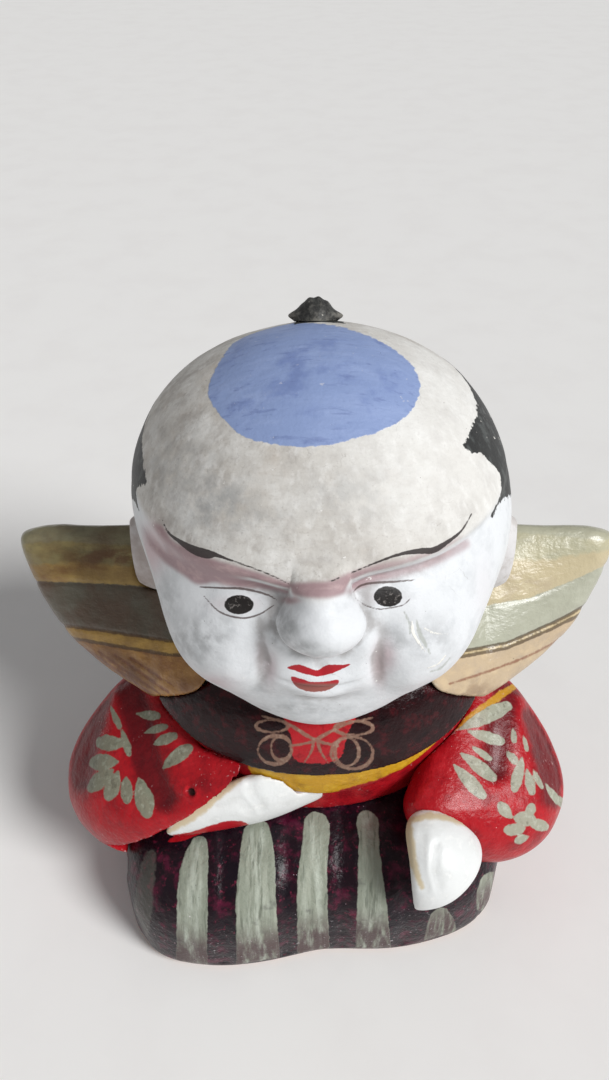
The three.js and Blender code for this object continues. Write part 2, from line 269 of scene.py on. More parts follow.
def brushField(spots, strokes, square=layoutSheet["square"]):
    # millimetres inside the nearest of some strokes; each is points of col, row and half width
    best = np.full(len(spots), farOut)
    for stroke in strokes:
        run = curveThrough(stroke, 6) if len(stroke) > 2 else np.asarray(stroke, float)
        low, high = run[:, :2].min(0) - 40, run[:, :2].max(0) + 40
        near = np.flatnonzero(((spots > low) & (spots < high)).all(1))
        here = spots[near]
        for a, b in zip(run, run[1:]):
            way = b[:2] - a[:2]
            along = np.clip((here - a[:2]) @ way / max(way @ way, 1e-9), 0, 1)
            gap = np.linalg.norm(here - a[:2] - along[:, None] * way, axis=1)
            best[near] = np.maximum(best[near], lerp(a[2], b[2], along) - gap)
    return best * square


def outlineField(spots, outlines, square=layoutSheet["square"], steps=5):
    # millimetres inside the nearest of some closed outlines
    best = np.full(len(spots), farOut)
    for outline in outlines:
        run = curveThrough(outline, steps, closed=True)
        low, high = run.min(0) + farOut, run.max(0) - farOut
        near = np.flatnonzero(((spots > low) & (spots < high)).all(1))
        here = spots[near]
        gap = np.full(len(near), 1e9)
        inside = np.zeros(len(near), bool)
        for a, b in zip(run, run[1:]):
            way = b - a
            along = np.clip((here - a) @ way / max(way @ way, 1e-9), 0, 1)
            gap = np.minimum(gap, np.linalg.norm(here - a - along[:, None] * way, axis=1))
            crosses = (a[1] > here[:, 1]) != (b[1] > here[:, 1])
            rise = b[1] - a[1] if b[1] != a[1] else 1e-9
            inside ^= crosses & (here[:, 0] < a[0] + (here[:, 1] - a[1]) / rise * way[0])
        best[near] = np.maximum(best[near], np.where(inside, gap, -gap))
    return best * square


def leafOf(start, end, half):
    # one leaf-shaped dab of the brush: a point, a belly and a rounded end
    start, end = np.array(start), np.array(end)
    spots = [(0.0, 0.15), (0.3, 0.75), (0.62, 1.0), (0.88, 0.7)]
    return [(*(start + (end - start) * t), half * w) for t, w in spots]


def softTint(spots, dabs):
    # 0 to 1; each dab is col, row, half width, half height and strength
    total = np.zeros(len(spots))
    for col, row, wide, high, strength in dabs:
        away = np.hypot((spots[:, 0] - col) / wide, (spots[:, 1] - row) / high)
        total = np.maximum(total, strength * bump(away, 1.0))
    return total


def towards(values, facing):
    # paint lies only on the side that the brush comes from
    return np.minimum(values, 40.0 * (facing - 0.02))


def belowLine(spots, line):
    # millimetres below a line of cols and rows
    cols, rows = np.array(line, float).T
    return (spots[:, 1] - np.interp(spots[:, 0], cols, rows)) * layoutSheet["square"]


# Forms that the pieces share

torsoSizes = {
    "foot": 49.0, "top": 134.0, "wall": 6.5,
    "width": 148.0, "depth": 100.0, "waistWidth": 126.0, "waistDepth": 92.0,
    "shoulderRound": 4.5,
}


def torsoMesh(grow, around=120, along=80):
    size = torsoSizes

    def shape(turn, tilt):
        level = np.clip((np.sin(tilt) + 1) / 2, 0, 1)
        spread = smooth(level / 0.6)
        closing = (1 - level ** size["shoulderRound"]) ** (1 / size["shoulderRound"])
        reach = np.where(level > 1e-6, closing, 0.0)
        across = lerp(size["waistWidth"], size["width"], spread) / 2 + grow
        ahead = lerp(size["waistDepth"], size["depth"], spread) / 2 + grow
        height = lerp(size["foot"], size["top"] + grow, level)
        return np.stack([across * reach * np.cos(turn),
                         ahead * reach * np.sin(turn) + backShift, height], 1)

    return ballMesh("torsoForm", evenTurns(around), evenTilts(along), shape)


lapSizes = {
    "width": 184.0, "depth": 178.0, "height": 62.0, "wall": 6.5, "turn": 3.0,
    "squareness": 5.0, "shoulder": 3.6, "footTuck": 4.0, "footRound": 9.0,
    "notch": 5.0, "notchHalf": 26.0, "kneeRound": 9.0,
}


def lapMesh(grow, foot, around=200, along=90):
    size = lapSizes

    def shape(turn, tilt):
        angle = turn + 0.08 * np.sin(4 * turn)
        power = size["squareness"]
        across = np.abs(np.cos(angle)) / (size["width"] / 2 + grow)
        ahead = np.abs(np.sin(angle)) / (size["depth"] / 2 + grow)
        radius = (across**power + ahead**power) ** (-1 / power)
        notch = size["notch"] * np.maximum(-np.sin(angle), 0)
        radius -= notch * bump(radius * np.cos(angle), size["notchHalf"])
        radius -= size["kneeRound"] * bump(angle + math.pi / 4, math.radians(26))
        run = (tilt / math.pi + 0.5) * 6.0  # 0 to 1 under the foot, 1 to 2 round its edge, then up
        edge = np.clip(run - 1.0, 0, 1) * math.pi / 2
        climb = np.clip((run - 2.0) / 4.0, 0, 1) * math.pi / 2
        rise = np.sin(climb) ** (2 / size["shoulder"])
        reach = np.cos(climb) ** (2 / size["shoulder"]) * np.clip(run, 0, 1)
        tucked = radius - size["footTuck"] * (1 - np.sin(edge))
        rounded = lerp(foot, size["footRound"], 1 - np.cos(edge))
        height = np.where(run < 2.0, rounded, lerp(size["footRound"], size["height"] + grow, rise))
        spin = angle + math.radians(size["turn"])
        return np.stack([tucked * reach * np.cos(spin),
                         tucked * reach * np.sin(spin) + backShift, height], 1)

    return ballMesh("lapForm", evenTurns(around), evenTilts(along), shape)


headSizes = {
    "middle": (0.0, 5.0 + backShift, 185.0), "radius": 75.0, "wall": 5.0,
    "neckBore": 38.6, "neckFoot": 35.0,
    "noseReach": 14.5, "browRecess": 6.8, "browLip": 0.8, "eyes": 1.7, "apples": 3.0, "creases": 2.6,
    "mouth": 1.3, "flatCheek": 5.0,
    # millimetres out, then degrees: middle to either side, half width, middle up, half height
    "swells": {
        "noseSkirt": (2.0, 11.5, 4.5, 4.5, 5.0), "cheeks": (6.0, 36.0, 20.0, -12.0, 16.0),
        "chin": (5.0, 0.0, 24.0, -36.0, 14.0), "mouthDip": (-2.0, 0.0, 20.0, -17.0, 9.0),
        "muzzle": (3.2, 0.0, 12.0, -9.5, 7.5), "upperLip": (1.1, 0.0, 7.5, -6.2, 1.9),
        "lowerLip": (1.9, 0.0, 6.5, -12.2, 3.2), "lipGroove": (-0.8, 0.0, 2.0, -2.6, 2.4),
        "jaw": (-10.0, 66.0, 26.0, -27.0, 20.0), "skull": (2.8, 126.0, 36.0, 36.0, 20.0),
    },
    "columns": 360, "rows": 250,
}


def browLine(side):
    # degrees up, where the crown ends: lowest between the eyes, higher over the left one
    return 23.0 + 2.4 * smooth(side / 14.0) - 0.9 * bump(side + 5.0, 9.0)


def faceRelief(side, up):
    # millimetres out of a plain round head, at degrees to the side and up
    size, away = headSizes, np.abs(side)
    below = browLine(side) - up
    between = bump(side, 9.0)  # the brow runs into the nose here
    slope = 4.2 + 4.4 * smooth((-side - 16.0) / 20.0) + 2.0 * between
    recess = smooth(below / slope) * bump(np.maximum(below, 0), 17.0) * bump(side, 55.0)
    browLip = bump(below + 2.6, 3.4) * bump(side, 50.0)
    noseHalf = lerp(12.2, 7.6, smooth((up - 8.0) / 16.0))
    bulb = np.maximum(1 - (side / noseHalf) ** 2 - (np.minimum(up - 13.0, 0) / 10.2) ** 2, 0) ** 0.75
    nose = bulb * (1 - smooth((up - 12.0) / 17.0))
    fold = away - (14.5 + 0.012 * (up + 2.0) ** 2)
    creases = bump(fold, 2.6) * bump(up + 3.0, 10.0)
    apples = smooth(fold / 9.0) * bump(up + 3.0, 12.0) * bump(away - 24.0, 16.0)
    mouth = bump(side, 8.5) * bump(up + 8.9 - 0.012 * side**2, 1.0)
    eyes = blunt(np.hypot((away - 19.5) / 12.0, (up - 14.6) / 5.6))
    flatCheek = bump(side + 70.0, 26.0) * bump(up + 6.0, 24.0)  # the right one came out flatter
    relief = size["noseReach"] * nose + size["browLip"] * browLip
    relief -= size["browRecess"] * recess * (1 - 0.4 * between)
    relief += size["eyes"] * eyes + size["apples"] * apples - size["creases"] * creases
    relief -= size["mouth"] * mouth + size["flatCheek"] * flatCheek
    for reach, aside, half, high, tall in size["swells"].values():
        relief += reach * bump(away - aside, half) * bump(up - high, tall)
    return relief


def crowded(low, high, count, middle, half):
    # angles in degrees from low to high, four times as close about the middle
    grid = np.linspace(low, high, 4001)
    weight = np.cumsum(1.0 + 3.0 * np.exp(-(((grid - middle) / half) ** 4)))
    weight = (weight - weight[0]) / (weight[-1] - weight[0])
    return np.radians(np.interp(np.linspace(0, 1, count + 1), weight, grid))


def headMesh(grow, relief, turns, tilts):
    size = headSizes

    def shape(turn, tilt):
        reach = relief * faceRelief(np.degrees(turn), np.degrees(tilt)) + grow
        ways = np.stack([np.cos(tilt) * np.sin(turn), -np.cos(tilt) * np.cos(turn), np.sin(tilt)], 1)
        return ways * (size["radius"] + reach)[:, None] + size["middle"]

    return ballMesh("headForm", turns, tilts, shape)


def tubeMesh(radius, low, high, around=64):
    # a plain round cutter on the neck's axis
    turn = evenTurns(around)
    ring = np.stack([radius * np.cos(turn), radius * np.sin(turn) + headSizes["middle"][1]], 1)
    return prismMesh("neckBore", [(*p, low) for p in ring], [(*p, high) for p in ring])


def limbMesh(path, width, depth, fullness, grow=0.0, around=56, along=64):
    start, bend, end = (np.array(p, float) for p in path)
    across = np.cross(bend - start, end - bend)
    across /= np.linalg.norm(across)

    def shape(turn, tilt):
        z = np.sin(tilt)
        t = np.clip((z + 1) / 2, 0, 1)[:, None]
        middle = (1 - t) ** 2 * start + 2 * t * (1 - t) * bend + t**2 * end
        tangent = (1 - t) * (bend - start) + t * (end - bend)
        tangent /= np.linalg.norm(tangent, axis=1)[:, None]
        sideways = np.cross(across, tangent)
        cap = ((1 - z**4) ** 0.5)[:, None]
        full = fullness(t)
        longer = (np.sign(z) * grow * smooth(np.abs(z)))[:, None]
        wide = cap * np.cos(turn)[:, None] * (width * full / 2 + grow)
        deep = cap * np.sin(turn)[:, None] * (depth * full / 2 + grow)
        return middle + tangent * longer + sideways * wide + across * deep

    return ballMesh("limbForm", evenTurns(around), evenTilts(along), shape)


def skinOver(mesh):
    # the taut skin over a bent arm, which fills its crook
    shape = bmesh.new()
    for vert in mesh.vertices:
        shape.verts.new(vert.co)
    made = bmesh.ops.convex_hull(shape, input=shape.verts)
    spare = {v for v in made["geom_interior"] + made["geom_unused"] if isinstance(v, bmesh.types.BMVert)}
    bmesh.ops.delete(shape, geom=list(spare), context="VERTS")
    skin = bpy.data.meshes.new("skin")
    shape.to_mesh(skin)
    shape.free()
    return skin


def mirrored(mesh):
    other = mesh.copy()
    flat = pointsOf(mesh) * (-1.0, 1.0, 1.0)
    other.vertices.foreach_set("co", (flat * mm).ravel())
    other.flip_normals()
    return other


vestSizes = {
    "shoulder": 134.0, "width": 134.0, "topWidth": 80.0, "endDrop": 21.0,
    "panel": {"drop": 35.0, "thickness": 7.0, "bow": 0.7},
    "lining": {"drop": 53.0, "thickness": 4.0, "bow": 0.45},
}


def chestBlock(drop, bow, grow):
    # pointed ends, a bowed lower edge and a top that runs up under the chin
    size = vestSizes
    half = size["width"] / 2 + 2 * grow
    ends, foot = size["shoulder"] - size["endDrop"], size["shoulder"] - drop - grow
    top, topHalf = size["shoulder"] + grow, size["topWidth"] / 2 + grow
    t = np.linspace(0, 1, 25)
    across = -half * ((1 - t) ** 3 + 3 * bow * (1 - t) ** 2 * t + 1.2 * bow * (1 - t) * t * t)
    height = lerp(foot, ends, (1 - t) ** 3)
    ring = list(zip(across, height))
    ring += [(-x, z) for x, z in ring[-2::-1]] + [(topHalf, top), (-topHalf, top)]
    return prismMesh("chestBlock", [(x, backShift, z) for x, z in ring], [(x, -160.0, z) for x, z in ring])


def chestSlab(layer, grow):
    size = vestSizes[layer]
    block = chestBlock(size["drop"], size["bow"], grow)
    return worked("chestSlab", torsoMesh(size["thickness"] + grow, 160, 110), [block], how="INTERSECT")


wingSizes = {
    "root": 40.0, "span": 258.0, "thickness": 16.0, "top": 164.0, "foot": 110.0,
    "tipHeight": 15.0, "back": 26.0, "lean": 70.0, "drop": 24.0,
}


def wingMesh(grow, around=80, along=100):
    size = wingSizes

    def shape(turn, tilt):
        z = np.sin(tilt)
        out, cap = np.clip((z + 1) / 2, 0, 1), (1 - z**8) ** 0.4
        risen = lerp(size["foot"], size["top"] - size["tipHeight"], out**6)
        footZ = risen + size["drop"] * np.clip(1 - out / 0.35, 0, 1)
        footY = size["back"] - size["lean"] * (1 - out) ** 0.8
        up = np.stack([0 * out, size["back"] - footY, size["top"] - footZ], 1)
        half = np.linalg.norm(up, axis=1) / 2
        up /= 2 * half[:, None]
        face = np.stack([0 * out, -up[:, 2], up[:, 1]], 1)
        full = size["thickness"] * lerp(0.5, 1.0, smooth(out / 0.4))
        rise = cap * signedPower(np.cos(turn), 0.7) * (half + grow)
        thick = cap * signedPower(np.sin(turn), 0.7) * (full / 2 + grow)
        middle = np.stack([lerp(size["root"], size["span"] / 2 + grow, out),
                           (size["back"] + footY) / 2 + backShift, (size["top"] + footZ) / 2], 1)
        return middle + up * rise[:, None] + face * thick[:, None]

    return ballMesh("wingForm", evenTurns(around), evenTilts(along), shape)


sleeveSizes = {
    "width": 54.0, "depth": 58.0, "top": (68.08, 0.0, 104.0), "elbow": (87.0, -24.0, 50.0),
    "wrist": (39.88, -56.0, 78.0), "pastWrist": (12.68, -56.0, 100.0),
    "cuff": (47.88, -56.0, 86.0), "cuffSlope": 41.0,
}


def sleeveMesh(end, grow):
    size = sleeveSizes
    top, end = np.array(size["top"]), np.array(end)
    bend = 2 * np.array(size["elbow"]) - top / 2 - end / 2
    path = [point + (0.0, backShift, 0.0) for point in (top, bend, end)]

    def fullness(t):
        return 0.6 + 0.48 * bump(t - 0.6, 0.36)

    return skinOver(limbMesh(path, size["width"], size["depth"], fullness, grow))


def cuffBlock(side, grow):
    # above or below the slanting plane that the right cuff ends in
    size, slope = sleeveSizes, math.radians(sleeveSizes["cuffSlope"])
    square = ((-60, -400), (60, -400), (60, 400), (-60, 400))
    corners = [(x, y, z - grow) for z in (0.0, 44.0 * side) for x, y in square]
    turned = [(x * math.cos(slope) + z * math.sin(slope), y, z * math.cos(slope) - x * math.sin(slope))
              for x, y, z in corners]
    points = (np.array(turned) + size["cuff"]) * (-1.0, 1.0, 1.0)
    return prismMesh("cuffBlock", points[:4], points[4:])


def rightSleeveMesh(grow):
    # runs on past the wrist and is cut off aslant for its cuff
    arm = mirrored(sleeveMesh(sleeveSizes["pastWrist"], grow))
    return worked("sleeve", arm, [cuffBlock(-1, grow)])


earSizes = {"middle": (68.0, 5.0, 168.0), "reach": 14.0, "depth": 24.0, "height": 40.0, "rightInset": 4.2}


def earMesh(grow, folds=0.0, inset=0.0, around=72, along=60):
    # a flat shell of an ear, hollowed inside its rim
    size = earSizes

    def shape(turn, tilt):
        ways = np.stack([np.cos(tilt) * np.cos(turn), np.cos(tilt) * np.sin(turn), np.sin(tilt)], 1)
        across, up = ways[:, 1] / 0.95, ways[:, 2]
        rim = np.hypot(across + 0.1, up)
        hollow = bump(np.hypot(across + 0.1, up + 0.05), 0.52) - 0.6 * bump(rim - 0.78, 0.16)
        reach = 1 - folds * hollow * smooth(ways[:, 0] / 0.4)
        radii = np.array((size["reach"] + grow, size["depth"] / 2 + grow, size["height"] / 2 + grow))
        points = ways * radii
        points[:, 0] *= reach
        return points + size["middle"] + np.array((-inset, backShift, 0.0))

    return ballMesh("earForm", evenTurns(around), evenTilts(along), shape)


topknotSizes = {"width": 18.0, "depth": 24.0, "height": 10.0, "lean": 29.0}


def topknotMesh(around=96, along=64):
    # a low tuft tied across its middle, with the loose ends combed back
    size, lean = topknotSizes, math.radians(topknotSizes["lean"])

    def shape(turn, tilt):
        ways = np.stack([np.cos(tilt) * np.cos(turn), np.cos(tilt) * np.sin(turn), np.sin(tilt)], 1)
        brim = bump(ways[:, 2] - 0.26, 0.2)
        tie = bump(ways[:, 1] - 0.15, 0.2)
        flare = 0.86 + 0.4 * brim * np.abs(ways[:, 0]) ** 3 - 0.1 * tie
        strands = 1 + 0.03 * np.sin(13 * ways[:, 0] + 2 * ways[:, 1])
        points = ways * (size["width"] / 2, size["depth"] / 2, 0.9 * size["height"])
        points[:, 0] = points[:, 0] * flare - 1.2
        points[:, 2] *= strands * (1 - 0.12 * tie) * (1 - 0.25 * smooth((ways[:, 1] - 0.2) / 0.8))
        points[:, 2] += headSizes["radius"]
        back = points[:, 1] * math.cos(lean) + points[:, 2] * math.sin(lean)
        rise = points[:, 2] * math.cos(lean) - points[:, 1] * math.sin(lean)
        return np.stack([points[:, 0], back, rise], 1) + headSizes["middle"]

    return ballMesh("topknotForm", evenTurns(around), evenTilts(along), shape)


print("forms ready")


# Paints

def hexColour(text):
    channels = [int(text[i:i + 2], 16) / 255 for i in (1, 3, 5)]
    return tuple(c / 12.92 if c <= 0.04045 else ((c + 0.055) / 1.055) ** 2.4 for c in channels) + (1.0,)


def addNode(tree, kind, inputs=None, **settings):
    # a node that is given as an input stands for its first output
    node = tree.nodes.new(kind)
    for key, value in settings.items():
        setattr(node, key, value)
    for key, value in (inputs or {}).items():
        if isinstance(value, bpy.types.Node):
            value = value.outputs[0]
        if isinstance(value, bpy.types.NodeSocket):
            tree.links.new(value, node.inputs[key])
        else:
            node.inputs[key].default_value = value
    return node


# A pattern is a function that builds a mask of 0 to 1 in a material's tree. Places are in millimetres.

def blotches(size, low, high, stretch=(1, 1, 1), detail=4.0, seed=0):
    # patches of about that many millimetres; a narrow low to high gives them hard edges
    def build(tree, where):
        shift, scale = (seed * 7.3, seed * 3.1, seed * 5.7), [1.0 / (size * s) for s in stretch]
        spot = addNode(tree, "ShaderNodeMapping", {0: where, 1: shift, 3: scale})
        noise = addNode(tree, "ShaderNodeTexNoise",
                        {"Vector": spot, "Scale": 1.0, "Detail": detail, "Roughness": 0.58})
        return addNode(tree, "ShaderNodeMapRange", {0: noise, 1: low, 2: high},
                       interpolation_type="SMOOTHSTEP")

    return build


def byField(name, edge=0.25, wobble=0.0, grain=2.0, inset=0.0, seed=0):
    # a painted shape, its edge as uneven as a loaded brush leaves it
    def build(tree, where):
        field = addNode(tree, "ShaderNodeAttribute", attribute_name=name).outputs["Fac"]
        if wobble:
            shake = blotches(grain, 0.2, 0.8, detail=3.0, seed=seed)(tree, where)
            field = addNode(tree, "ShaderNodeMath", {0: shake, 1: 2 * wobble, 2: field},
                            operation="MULTIPLY_ADD")
        middle = inset + wobble
        return addNode(tree, "ShaderNodeMapRange", {0: field, 1: middle - edge, 2: middle + edge},
                       interpolation_type="SMOOTHSTEP")

    return build


def byTint(name, half=0.5):
    # a soft tint, whose field is its own strength of 0 to 1
    return byField(name, half, inset=half)


def pitted(spacing, radius, share, seed=0):
    # small round spots in a share of the cells of a loose net
    def build(tree, where):
        shift = (seed * 2.9, seed * 6.1, seed * 1.7)
        spot = addNode(tree, "ShaderNodeMapping", {0: where, 1: shift, 3: [1.0 / spacing] * 3})
        cells = addNode(tree, "ShaderNodeTexVoronoi", {"Vector": spot, "Scale": 1.0})
        edge = radius / spacing
        dot = addNode(tree, "ShaderNodeMapRange", {0: cells.outputs["Distance"], 1: edge, 2: 0.6 * edge},
                      interpolation_type="SMOOTHSTEP")
        kept = addNode(tree, "ShaderNodeMath", {0: cells.outputs["Color"], 1: 1.0 - share},
                       operation="GREATER_THAN")
        return addNode(tree, "ShaderNodeMath", {0: dot, 1: kept}, operation="MULTIPLY")

    return build


def crackled(size, width):
    # a net of hair cracks round plates of about that size
    def build(tree, where):
        drift = addNode(tree, "ShaderNodeTexNoise",
                        {"Vector": where, "Scale": 1.0 / (0.6 * size), "Detail": 3.0})
        bent = addNode(tree, "ShaderNodeVectorMath",
                       {0: drift.outputs["Color"], 1: [0.7 * size] * 3, 2: where}, operation="MULTIPLY_ADD")
        spot = addNode(tree, "ShaderNodeMapping", {0: bent, 3: [1.0 / size] * 3})
        net = addNode(tree, "ShaderNodeTexVoronoi", {"Vector": spot, "Scale": 1.0},
                      feature="DISTANCE_TO_EDGE")
        return addNode(tree, "ShaderNodeMapRange", {0: net.outputs["Distance"], 1: width / size, 2: 0.0},
                       interpolation_type="SMOOTHSTEP")

    return build


def coat(colour, masks, amount=1.0, rough=None, lift=0.0):
    # paint where all its masks are, with its own dullness and its own thickness in millimetres
    return colour, masks if isinstance(masks, tuple) else (masks,), amount, rough, lift


def painted(name, ground, rough, coats, gloss=0.5, varnish=0.0, varnishRough=0.1):
    material = bpy.data.materials.new(name)
    material.use_nodes = True
    tree = material.node_tree
    tree.nodes.clear()
    place = addNode(tree, "ShaderNodeTexCoord").outputs["Object"]
    where = addNode(tree, "ShaderNodeVectorMath", {0: place, 3: 1.0 / mm}, operation="SCALE")
    tone, height, made = hexColour(ground), 0.0, {}
    for colour, masks, amount, dull, lift in coats:
        for mask in masks:
            if mask not in made:
                made[mask] = mask(tree, where)
        share, *others = [made[mask] for mask in masks]
        for other in others + [amount] * (amount != 1.0):
            share = addNode(tree, "ShaderNodeMath", {0: share, 1: other}, operation="MULTIPLY")
        if colour:
            tone = addNode(tree, "ShaderNodeMix", {0: share, 6: tone, 7: hexColour(colour)},
                           data_type="RGBA").outputs[2]
        if dull is not None:
            rough = addNode(tree, "ShaderNodeMix", {0: share, 2: rough, 3: dull})
        if lift:
            height = addNode(tree, "ShaderNodeMath", {0: share, 1: lift, 2: height},
                             operation="MULTIPLY_ADD")
    relief = addNode(tree, "ShaderNodeBump", {"Strength": 1.0, "Distance": mm, "Height": height})
    shader = addNode(tree, "ShaderNodeBsdfPrincipled", {
        "Base Color": tone, "Roughness": rough, "IOR": 1.5, "Specular IOR Level": gloss,
        "Coat Weight": varnish, "Coat Roughness": varnishRough, "Normal": relief})
    addNode(tree, "ShaderNodeOutputMaterial", {"Surface": shader})
    return material


def addPiece(name, mesh, material, slot, *nodes):
    piece = bpy.data.objects.new(name, mesh)
    bpy.context.scene.collection.objects.link(piece)
    mesh.materials.clear()
    mesh.materials.append(material)
    mesh.shade_smooth()
    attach(piece, "root")
    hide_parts(*nodes)
    print(name, len(mesh.vertices), "points")


# Head: two pressed half shells, the seam rubbed down and painted over

headPaint = {
    "bluePatch": [(208, 392), (222, 358), (241, 337), (272, 326), (309, 323), (345, 328), (385, 344),
                  (411, 364), (420, 387), (411, 411), (385, 429), (353, 439), (319, 446), (277, 445),
                  (246, 437), (225, 421)],
    "blueOval": ((-2.5, -10.0), (39.5, 37.0)),  # seen from above, where the patch closes before the topknot
    "brows": [[(162, 519, 0.5), (168, 532, 1), (179, 541, 2), (194, 550, 4.2), (207, 554, 4.6),
               (216, 555, 2.2), (230, 560, 1.0), (253, 568, 0.7), (273, 576, 0.7), (289, 584, 0.5)],
              [(329, 582, 0.7), (339, 578, 1.0)],
              [(351, 573, 0.6), (375, 563, 0.9), (401, 554, 1.6), (421, 551, 2.9), (434, 550, 3.1),
               (449, 541, 1.9), (462, 530, 1), (472, 513, 0.5)]],
    "eyeLines": [[(200, 587, 0.8), (222, 588, 1), (240, 588.5, 1.2), (254, 591, 1.1), (268, 595, 1),
                  (277, 600, 0.5)],
                 [(204, 596, 0.5), (217, 610, 0.8), (230, 616, 0.9), (245, 618, 0.9), (260, 614, 0.8),
                  (274, 605, 0.5)],
                 [(353, 592, 0.6), (360, 586, 1.0), (372, 583, 1.2), (390, 582, 1.2), (415, 580, 0.6)],
                 [(355, 598, 0.4), (365, 605, 0.6), (378, 609, 0.7), (390, 608, 0.7), (403, 605, 0.6),
                  (411, 598, 0.4)]],
    "irises": [((239, 604.6), (14.6, 9.6)), ((388, 596.5), (14.2, 10.3))],
    "lips": [[(287, 667.5), (296, 664.6), (304, 665.8), (316.5, 670.2), (323, 667), (330, 664.8),
              (342, 664.8), (351, 664), (342, 669), (332, 673.2), (319, 676.4), (311, 675.4),
              (301, 672.8), (293, 670)],
             [(291, 676.6), (297.4, 677.6), (309, 681.2), (316.5, 682.2), (329, 681.2), (338, 679.6),
              (338.4, 683.4), (332, 688), (324, 691), (311, 691.7), (300, 688.8), (293.4, 683.4)]],
    # lifted slivers of the white on the left cheek, and a painted shadow beside each
    "slivers": [[(412, 622, 0.8), (413, 632, 1.5), (419, 643, 1.2), (426, 652, 0.5)],
                [(448, 634, 0.3), (434, 633, 0.9), (424, 628, 0.5)],
                [(446, 655, 0.4), (438, 664, 0.7), (428, 668, 0.4)]],
    "sliverDirt": [[(416, 620, 0.8), (420, 634, 2.2), (425, 644, 1.6), (430, 654, 0.5)],
                   [(404, 612, 0.5), (409, 622, 1.2), (410, 634, 0.6)],
                   [(450, 658, 0.4), (441, 668, 0.9), (430, 672, 0.5)]],
    # col, row, half width, half height and strength of soft tints; the blush is pink paint, with painted
    # shade in it beside the nose and mouth and at the temple
    "blush": [(152, 550, 16, 30, 0.7), (209, 684, 30, 12, 0.5), (386, 656, 12, 20, 0.6),
              (262, 655, 8, 20, 0.4), (484, 590, 14, 40, 0.2), (236, 604, 30, 9, 0.4),
              (384, 597, 26, 9, 0.3), (380, 664, 9, 24, 0.7), (270, 668, 9, 20, 0.5)],
    # soot: grey smudges, and painted shade on the side away from the light, beside and under the nose and
    # under the chin
    "soot": [(284, 628, 17, 24, 0.95), (300, 648, 22, 10, 0.8), (330, 654, 30, 6, 0.5),
             (396, 642, 20, 22, 0.6), (428, 640, 34, 28, 0.55), (200, 640, 38, 28, 0.75),
             (262, 690, 30, 14, 0.4), (345, 497, 60, 34, 0.4), (180, 470, 50, 50, 0.5),
             (250, 520, 50, 18, 0.5), (165, 610, 22, 46, 0.5), (300, 708, 70, 8, 0.6),
             (214, 500, 46, 40, 0.7)],
    "clean": [(462, 415, 150, 160, 1.0)],  # the crown's side towards the light, painted paler as painted light, and less rubbed there
    "stain": [(291, 600, 10, 4.5, 0.9)],
    "browBand": [(140, 531), (142.5, 525), (160, 527), (172.5, 542.5), (190, 550), (207.5, 558.8),
                 (227.5, 565), (252.5, 572.5), (275, 580), (290, 584.5), (310, 583.8), (330, 582.5),
                 (350, 574), (380, 565), (410, 558), (440, 548), (462, 538), (468, 546), (448, 558),
                 (428, 567), (405, 574), (385, 579), (368, 584), (352, 590), (330, 596), (310, 596),
                 (295, 593.8), (275, 588.8), (255, 586), (235, 585), (215, 581), (197.5, 582.5),
                 (182.5, 572.5), (167.5, 562.5), (155, 550), (145, 542.5)],
    # degrees to the side and up, for the hair at the temples and round the back
    "hair": [[(-65.5, 29.3), (-72.6, 31), (-85, 32), (-98, 33), (-115, 38), (-140, 50), (-165, 60),
              (-182, 66), (-182, -28), (-140, -26), (-112, -20), (-108, -5), (-95, 6), (-82, 13),
              (-72, 18), (-69, 18.5), (-71.5, 23), (-69, 26)],
             [(59.5, 43.2), (68, 44), (78, 43.5), (90, 43), (105, 44), (125, 48), (150, 56), (170, 63),
              (182, 66), (182, -28), (140, -26), (112, -20), (108, -5), (95, 6), (82, 14), (70, 21),
              (61, 21.5), (58, 21.7), (64, 23.5), (70, 25.5), (71.5, 30), (68.5, 34), (67.5, 37),
              (63.3, 40)]],
    "uneven": [(0.35, 27, 1), (0.16, 9, 2), (0.05, 3, 3)],
}

headTurns = crowded(-180, 180, headSizes["columns"], 0, 40)[:-1]
headTilts = crowded(-90, 90, headSizes["rows"], 6, 26)[1:-1]
headSeat = headMesh(seatGap, 1.0, evenTurns(170), evenTilts(120))
neckBore = tubeMesh(headSizes["neckBore"] / 2, headSizes["neckFoot"], headSizes["middle"][2])
hollow = headMesh(-headSizes["wall"], 0.6, evenTurns(64), evenTilts(40))
headShell = worked("head", headMesh(0.0, 1.0, headTurns, headTilts), [hollow, neckBore])
press(headShell, headPaint["uneven"], rounds=140)

spots, facing = onSheet(headShell)
square = layoutSheet["square"]
ways = pointsOf(headShell) - headSizes["middle"]
side = np.degrees(np.arctan2(ways[:, 0], -ways[:, 1]))
up = np.degrees(np.arcsin(np.clip(ways[:, 2] / np.linalg.norm(ways, axis=1), -1, 1)))
hair = outlineField(np.stack([side, up], 1), headPaint["hair"], 1.0)
crownStrip = 7.0 - np.abs((180 - np.abs(side)) * np.cos(np.radians(up)))
hair = np.maximum(hair, np.minimum(crownStrip, np.minimum(up - 40, 72 - up)))
(midX, midY), (halfWide, halfLong) = headPaint["blueOval"]
oval = (1 - np.hypot((ways[:, 0] - midX) / halfWide, (ways[:, 1] - midY) / halfLong)) * halfWide
blue = np.minimum(outlineField(spots, [headPaint["bluePatch"]]), np.where(ways[:, 2] > 0, oval, farOut))
iris = np.full(len(spots), farOut)
for middle, radii in headPaint["irises"]:
    iris = np.maximum(iris, (1 - np.linalg.norm((spots - middle) / radii, axis=1)) * radii[1] * square)
# the band under the brows is pink paint and painted shade under the brows' edge, painted fainter towards
# the light
band = smooth(0.7 + outlineField(spots, [headPaint["browBand"]]) / 4.0)
band *= lerp(1.0, 0.6, smooth(side / 25)) * smooth((facing - 0.1) / 0.4)
for name in ("brows", "eyeLines", "slivers", "sliverDirt"):
    setFields(headShell, **{name: towards(brushField(spots, headPaint[name]), facing)})
for name in ("blush", "soot", "clean"):
    setFields(headShell, **{name: softTint(spots, headPaint[name]) * smooth(facing / 0.2)})
